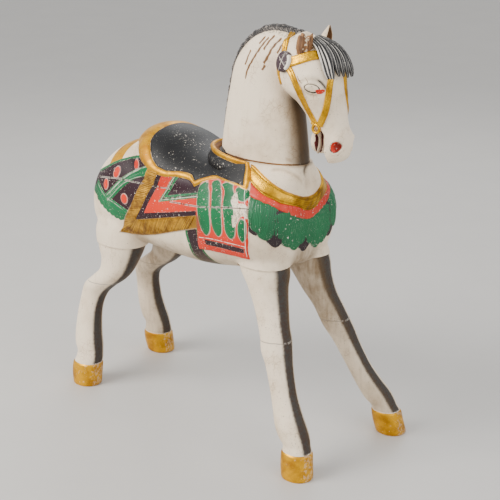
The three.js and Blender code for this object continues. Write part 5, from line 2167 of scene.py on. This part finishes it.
@dataclass
class Collar:
    """The gilded breast collar, the pleated red band under it and the feathers that hang from the band."""

    gold_high: float = 8.5
    band_high: float = 6.0
    step: float = 1.0
    seed: int = 3
    # How far round the chest the collar reaches: at its upper edge, and how much less at its lower one
    reach: float = 69.0
    slant: float = 6.5

    def line(self, points: Sequence[tuple[float, float]], at: np.ndarray) -> np.ndarray:
        """A line's height at angles round the chest, alike on both sides."""
        curve = evenly([*points, *((-a, z) for a, z in reversed(points[:-1]))], 1.5)
        order = np.argsort(curve[:, 0])
        return np.interp(at, curve[order, 0], curve[order, 1])

    def spread(self, columns: int, share: np.ndarray) -> np.ndarray:
        """Angles for a grid whose two ends lean along the saddle's flaps."""
        ends = self.reach - self.slant * share
        return np.linspace(-1, 1, columns)[:, None] * ends[None, :]

    def grid(
        self, wood: Carved, angles: np.ndarray, heights: np.ndarray
    ) -> tuple[np.ndarray, np.ndarray]:
        """Places on the chest for a grid of angles and heights."""
        base, out = np.empty((*angles.shape, 3)), np.empty((*angles.shape, 3))
        for at in np.ndindex(angles.shape):
            base[at], out[at] = wood.from_chest(angles[at], heights[at])
        for _ in range(2):
            out[1:-1] = out[:-2] + 2 * out[1:-1] + out[2:]
            out /= np.linalg.norm(out, axis=2, keepdims=True)
        return base, out

    def gold(self, wood: Carved) -> bpy.types.Object:
        """The broad gilded band with a fine raised line along both its edges."""
        share = np.linspace(0, 1, 27)
        angles = self.spread(int(2 * self.reach / self.step), share)
        top, low = self.line(COLLAR_TOP, angles), self.line(COLLAR_LOW, angles)
        base, out = self.grid(wood, angles, top + (low - top) * share)
        s = np.tile(share, (len(angles), 1))
        round_top = np.sqrt(np.clip(1 - (2 * s - 1) ** 2, 0, 1))
        beads = bell(s - 0.09, 0.035) + bell(s - 0.91, 0.035)
        grooves = bell(s - 0.17, 0.03) + bell(s - 0.83, 0.03)
        front = 1 - smooth(17, 23, abs(angles))
        lines = 0.5 + 0.5 * np.cos(s * 2 * math.pi * 6.5 + 0.25 * np.sin(np.radians(angles) * 30))
        rope = 0.5 + 0.5 * np.sin(np.radians(angles) * 46 + s * 9)
        high = 1.0 + (self.gold_high - 1.0) * round_top + 1.6 * beads - 1.1 * grooves
        high += front * (1.1 * (lines - 0.5) + 0.9 * (rope - 0.5) * (1 - beads))
        high *= 0.35 + 0.65 * smooth(0, 2.5, self.reach - self.slant * s - abs(angles))
        top_layer = np.clip(0.95 * grooves + front * (0.45 * (1 - lines) + 0.35 * (1 - rope) + 0.25), 0, 1)
        layer = np.concatenate([top_layer.ravel(), np.zeros(top_layer.size)])
        return dress(slab(base, out, high).piece("collar_gold", {"hollow": layer}), GOLD_LEAF)

    def band(self, wood: Carved) -> bpy.types.Object:
        """The red band, gathered in small pleats towards the front."""
        share = np.linspace(0, 1, 11)
        angles = np.linspace(-1, 1, 241)[:, None] * (61.5 - 1.5 * share)[None, :]
        top, low = self.line(COLLAR_LOW, angles) + 3, self.line(BAND_LOW, angles)
        base, out = self.grid(wood, angles, top + (low - top) * share)
        s = np.tile(share, (len(angles), 1))
        pleats = 0.5 + 0.5 * np.sin(np.radians(angles) * 60 + 1.5 * np.sin(np.radians(angles) * 17) + 0.5 * s)
        gather = 0.25 + 0.75 * (1 - smooth(20, 40, abs(angles)))
        edge = np.sqrt(np.clip(1 - ((s - 0.5) / 0.52) ** 4, 0, 1))
        high = 0.8 + self.band_high * edge - 2.4 * gather * (1 - pleats) * edge
        ridge = np.maximum(pleats * gather * smooth(0.55, 0.8, s), 0.9 * smooth(0.86, 0.95, s))
        ridge = np.concatenate([ridge.ravel(), np.zeros(s.size)])
        return dress(slab(base, out, high).piece("collar_red_band", {"ridge": ridge}), BAND_RED)

    def feather(
        self, wood: Carved, tip: tuple[float, float], half: float, lift: float
    ) -> tuple[Shell, np.ndarray, np.ndarray]:
        """One feather from under the band down to its tip.

        Args:
            wood: The chest.
            tip: The tip's angle and height.
            half: Half its width in degrees.
            lift: How far it stands out at its edges.

        Returns:
            The shell, and where its ridges and hollows are.
        """
        down, share = np.linspace(0, 1, 54), np.linspace(-1, 1, 41)
        start = self.line(BAND_LOW, np.array([tip[0] * 0.96]))[0] + 6
        t, u = np.meshgrid(down, share, indexing="ij")
        body = np.clip(1 - np.clip((t - 0.62) / 0.38, 0, 1) ** 2.3, 0, 1) ** 0.7
        notch = (
            1 - 0.12 * np.clip(np.sin(t * 21 + tip[0]), 0, 1) ** 2 * (t > 0.35) * smooth(0.6, 0.95, abs(u))
        )
        angles = np.clip(tip[0] * (0.96 + 0.04 * t) + u * half * body * notch, -59.0, 59.0)
        heights = start + (tip[1] - start) * t
        base, out = self.grid(wood, angles, heights)
        barbs = 0.5 + 0.5 * np.cos(2 * math.pi * (abs(u) * 5.0 + t * 3.0 + 0.12 * np.sin(t * 15)))
        edge = np.sqrt(np.clip(1 - abs(u) ** 6, 0, 1)) * np.sqrt(np.clip(1 - t**9, 0, 1))
        rib = bell(u, 0.06)
        high = (lift + 3.2 * (1 - u**2) + 1.2 * rib) * (0.25 + 0.75 * edge) - 1.2 * (1 - barbs) * edge
        high = high * smooth(0.0, 0.14, t)
        tips = smooth(0.45, 0.8, t)
        front = 1 - smooth(24, 34, np.full_like(t, abs(tip[0])))
        ridge = np.maximum(barbs * (0.72 + 0.22 * np.maximum(front * (1 - tips), 0.6 * tips)),
                           0.9 * rib * tips)
        ridge = np.maximum(ridge, np.maximum(smooth(0.74, 0.92, abs(u)), smooth(0.93, 0.98, t)) * tips)
        layers = [np.concatenate([part.ravel(), np.zeros(part.size)]) for part in (ridge, 1 - barbs)]
        return slab(base, out, high), layers[0], layers[1]

    def feathers(self, wood: Carved) -> list[bpy.types.Object]:
        """The layer of dark feathers, and the green ones over it."""
        layers = (
            ("dark_feathers", FEATHER_DARK, 1.5, 9.5,
             ((-53, 650), (-37, 612), (-5, 580), (31, 600), (47, 634), (57, 660))),
            ("green_feathers", FEATHER_GREEN, 4.0, 9.5,
             ((-57, 676), (-50, 656), (-45, 636), (-32, 634), (-25, 606), (-18, 593), (-10, 606), (4, 598),
              (12, 580),
              (20, 589), (27, 612), (39, 622), (48, 646), (56, 662))),
        )
        made = []
        for name, finish, lift, half, tips in layers:
            parts = [self.feather(wood, tip, half, lift + 1.0 * (at % 2)) for at, tip in enumerate(tips)]
            shells, ridges, hollows = zip(*parts)
            marks = {"ridge": np.concatenate(ridges), "hollow": np.concatenate(hollows)}
            made.append(dress(Shell.joined(shells).piece(name, marks), finish))
        return made

    def build(self, wood: Carved) -> list[bpy.types.Object]:
        """Collar, band and feathers."""
        return [*self.feathers(wood), self.band(wood), self.gold(wood)]


@dataclass
class Fringe:
    """The blanket's gilded fringe, thread by thread."""

    pitch: float = 6.0
    thickness: float = 2.9
    seed: int = 11
    inner: tuple = ((-128, 756), (-162, 698), (-187, 648), (-219, 600), (-219, 599), (-205, 601), (-151, 614),
                    (-84, 631), (-20, 647), (40, 662))
    outer: tuple = ((-170, 758), (-207, 700), (-236, 640), (-275, 583), (-303, 541), (-250, 541), (-181, 557),
                    (-116, 576), (-52, 597), (8, 615))

    def build(self, wood: Carved) -> bpy.types.Object:
        """Lays out the threads and sets them."""
        steps = np.linspace(0, len(self.inner) - 1, 400)
        knots = np.arange(len(self.inner))
        inner = np.stack([np.interp(steps, knots, column) for column in np.array(self.inner, float).T], 1)
        outer = np.stack([np.interp(steps, knots, column) for column in np.array(self.outer, float).T], 1)
        middle = (inner + 2 * outer) / 3
        walked = np.concatenate([[0], np.cumsum(np.linalg.norm(np.diff(middle, axis=0), axis=1))])
        places = np.arange(1.5, walked[-1], self.pitch)
        ends = [[np.interp(places, walked, line[:, axis]) for axis in (0, 1)] for line in (inner, outer)]
        chance = np.random.default_rng(self.seed)
        points, facing, direction, reach = [], [], [], []
        for hand in SIDES.values():
            for at in range(len(places)):
                sway = chance.uniform(-1.6, 1.6, 2)
                start = wood.from_side(ends[0][0][at], ends[0][1][at], hand)
                end = wood.from_side(ends[1][0][at] + sway[0], ends[1][1][at] + sway[1], hand)
                out = start[1] + end[1]
                out /= np.linalg.norm(out)
                run = end[0] - start[0]
                length = np.linalg.norm(run)
                middle_place, _ = wood.nearest((start[0] + end[0]) / 2)
                points.append((start[0] + end[0] + middle_place * 2) / 4 + out * 0.6)
                facing.append(out)
                direction.append(run / length)
                reach.append(length * 0.51)
        mesh = bpy.data.meshes.new("blanket_fringe")
        mesh.from_pydata((np.array(points) + (TABLE_SHIFT, 0, 0)) * MM, [], [])
        for name, values in (("facing", facing), ("direction", direction)):
            flat = np.array(values, np.float32).ravel()
            mesh.attributes.new(name, "FLOAT_VECTOR", "POINT").data.foreach_set("vector", flat)
        lengths = np.array(reach, np.float32) * MM
        mesh.attributes.new("reach", "FLOAT", "POINT").data.foreach_set("value", lengths)
        piece = bpy.data.objects.new("blanket_fringe", mesh)
        bpy.context.scene.collection.objects.link(piece)
        grow(
            piece, carved_threads(), thickness=self.thickness * MM, seed=self.seed,
            finish=FRINGE_GOLD.material()
        )
        return dress(piece, FRINGE_GOLD)


@dataclass
class Pommel:
    """The raised lip of the saddle behind the neck: bare wood inside, a gilded roll and leather outside."""

    gap: float = 1.0
    flare: float = 22.0
    roll: float = 6.5
    front: float = 172.0
    high: float = 850.0
    low: float = 829.0

    def section(self, share: float) -> tuple[list[tuple[float, float]], list[Coat]]:
        """The lip's section at a share of its flare: places off the neck with heights, and their coats."""
        top = self.low + (self.high - self.low) * share**1.7
        out, half = 3.0 + self.flare * share, self.roll * (0.5 + 0.5 * share)
        fall = 4.0 + 12.0 * share
        points = [
            (self.gap, 800), (self.gap, top - fall), (self.gap + (out - half) * 0.35, top - fall * 0.66),
            (self.gap + (out - half) * 0.8, top - fall * 0.34), (out - half, top - 3.0),
            (out - half * 0.8, top - 1.0),
            (out - half * 0.3, top), (out + half * 0.3, top - 0.2), (out + half * 0.8, top - 2.2),
            (out + half, top - 6),
            (out + half * 0.8, top - 10), (out + half * 0.4, top - 12.5), (out + half * 0.6, top - 17),
            (out + half * 1.4, top - 26), (out + half * 2.6, top - 38), (out + half * 2.0, top - 58),
            (self.gap + 5, 780),
        ]
        coats = [Coat.WOOD] * 4 + [Coat.GOLD] * 8 + [Coat.BLACK] * 5
        return points, coats

    def build(self) -> bpy.types.Object:
        """Sweeps the lip's section round the back of the neck."""
        turn = math.acos((self.front - NECK_MIDDLE) / NECK_REACH * 0.98)
        angles = np.linspace(turn, 2 * math.pi - turn, 160)
        long, wide = bent(angles, LIMB_SQUARENESS)
        rings, laid = [], []
        for at in range(len(angles)):
            centre = np.array([NECK_MIDDLE + NECK_REACH * long[at], NECK_HALF * wide[at]])
            before, after = max(0, at - 1), min(len(angles) - 1, at + 1)
            run = np.array([NECK_REACH * (long[after] - long[before]),
                            NECK_HALF * (wide[after] - wide[before])])
            out = np.array([run[1], -run[0]]) / np.linalg.norm(run)
            share = float(np.clip((self.front - centre[0]) / (self.front + 2), 0, 1)) ** 0.7
            section, coats = self.section(share)
            rings.append([(*(centre + out * off), z) for off, z in section])
            laid += coats
        rings = np.array(rings, float)
        painting = Painting(Skin(rings.reshape(-1, 3), np.zeros((rings.size // 3, 3))))
        for coat in (Coat.WOOD, Coat.BLACK, Coat.GOLD):
            painting.lay(coat, np.where([other is coat for other in laid], 2.5, -2.5))
        painting.mark("wear", np.full(len(laid), 0.2))
        piece = Shell.loft(rings).piece("saddle_lip", painting.layers())
        fine = piece.modifiers.new("refine", "SUBSURF")
        fine.levels = fine.render_levels = 1
        settle(piece)
        return dress(piece, PAINTWORK)


@dataclass
class Studio:
    """A pale floor, soft lamps and the camera where the photographer stood."""

    camera_place: tuple[float, float, float] = (2.850, -2.846, 1.8)
    camera_turn: tuple[float, float, float] = (72.181, 0.0, 43.874)
    lens: float = 100.8
    floor_size: float = 24.0
    floor_colour: Colour = (0.56, 0.545, 0.52)

    def build(self) -> None:
        """Lays the floor, hangs the lamps and places the camera."""
        self.floor()
        self.lamp("key", (-1.6, -3.0, 3.4), 2.6, 260, (1.0, 0.965, 0.92))
        self.lamp("fill", (3.6, -0.4, 2.4), 3.0, 62, (0.97, 0.98, 1.0))
        self.lamp("back", (-1.8, 2.8, 3.0), 2.4, 45, (1.0, 1.0, 1.0))
        world = bpy.data.worlds.new("pale_room")
        world.use_nodes = True
        background = world.node_tree.nodes["Background"]
        background.inputs["Color"].default_value = (0.90, 0.90, 0.90, 1.0)
        background.inputs["Strength"].default_value = 0.95
        bpy.context.scene.world = world
        camera = bpy.data.objects.new("camera", bpy.data.cameras.new("camera"))
        camera.location = self.camera_place
        camera.rotation_euler = tuple(math.radians(angle) for angle in self.camera_turn)
        camera.data.lens = self.lens
        bpy.context.scene.collection.objects.link(camera)
        bpy.context.scene.camera = camera

    def floor(self) -> None:
        """A pale floor with a faint cloudiness."""
        mesh = bpy.data.meshes.new("floor")
        half = self.floor_size / 2
        mesh.from_pydata([(-half, -half, 0), (half, -half, 0), (half, half, 0), (-half, half, 0)], [],
                         [(0, 1, 2, 3)])
        floor = bpy.data.objects.new("floor", mesh)
        bpy.context.scene.collection.objects.link(floor)
        made = bpy.data.materials.new("pale_floor")
        made.use_nodes = True
        wiring = Wiring(made.node_tree)
        place = wiring.add("ShaderNodeTexCoord").outputs["Object"]
        shade = tuple(0.9 * part for part in self.floor_colour)
        shader = made.node_tree.nodes["Principled BSDF"]
        wiring.put(shader.inputs["Base Color"],
                   wiring.mix(wiring.noise(place, 3.0, 5.0), self.floor_colour, shade))
        shader.inputs["Roughness"].default_value = 0.5
        mesh.materials.append(made)

    def lamp(self, name: str, place: Sequence[float], size: float, power: float, colour: Colour) -> None:
        """A soft square lamp that faces the horse."""
        data = bpy.data.lights.new(name, "AREA")
        data.energy, data.size, data.color = power, size, colour
        lamp = bpy.data.objects.new(name, data)
        lamp.location = place
        lamp.rotation_euler = (Vector((0, 0, 0.6)) - Vector(place)).to_track_quat("-Z", "Y").to_euler()
        bpy.context.scene.collection.objects.link(lamp)


def legs() -> list[Leg]:
    """The four legs with their places and joints."""
    made = []
    for side, hand in SIDES.items():
        made.append(Leg(f"{side}_foreleg", f"foreleg_{side}", FORELEG, hand, FORE_JOINT))
        hind = stepped(HIND_LEG, -hand * HIND_STEP)
        made.append(Leg(f"{side}_hind_leg", f"hind_leg_{side}", hind, hand, HIND_JOINT))
    return made


def report(piece: bpy.types.Object) -> None:
    """Puts a finished piece on the horse and logs it."""
    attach(piece, BODY)
    LOG.info("%s: %d faces", piece.name, len(piece.data.polygons))


def main() -> None:
    """Builds the studio and the horse, in order."""
    logging.basicConfig(level=logging.INFO, format="%(message)s")
    Studio().build()
    trunk = Trunk().build()
    report(trunk)
    for leg in legs():
        report(leg.build())
    head = NeckAndHead().build()
    report(head)
    chest, face = Carved(trunk), Carved(head)
    report(Pommel().build())
    report(Fringe().build(chest))
    for group in (Collar().build(chest), Bridle().build(face), Ears().build(), Hair().build(face)):
        for piece in group:
            report(piece)


if __name__ == "__main__":
    main()
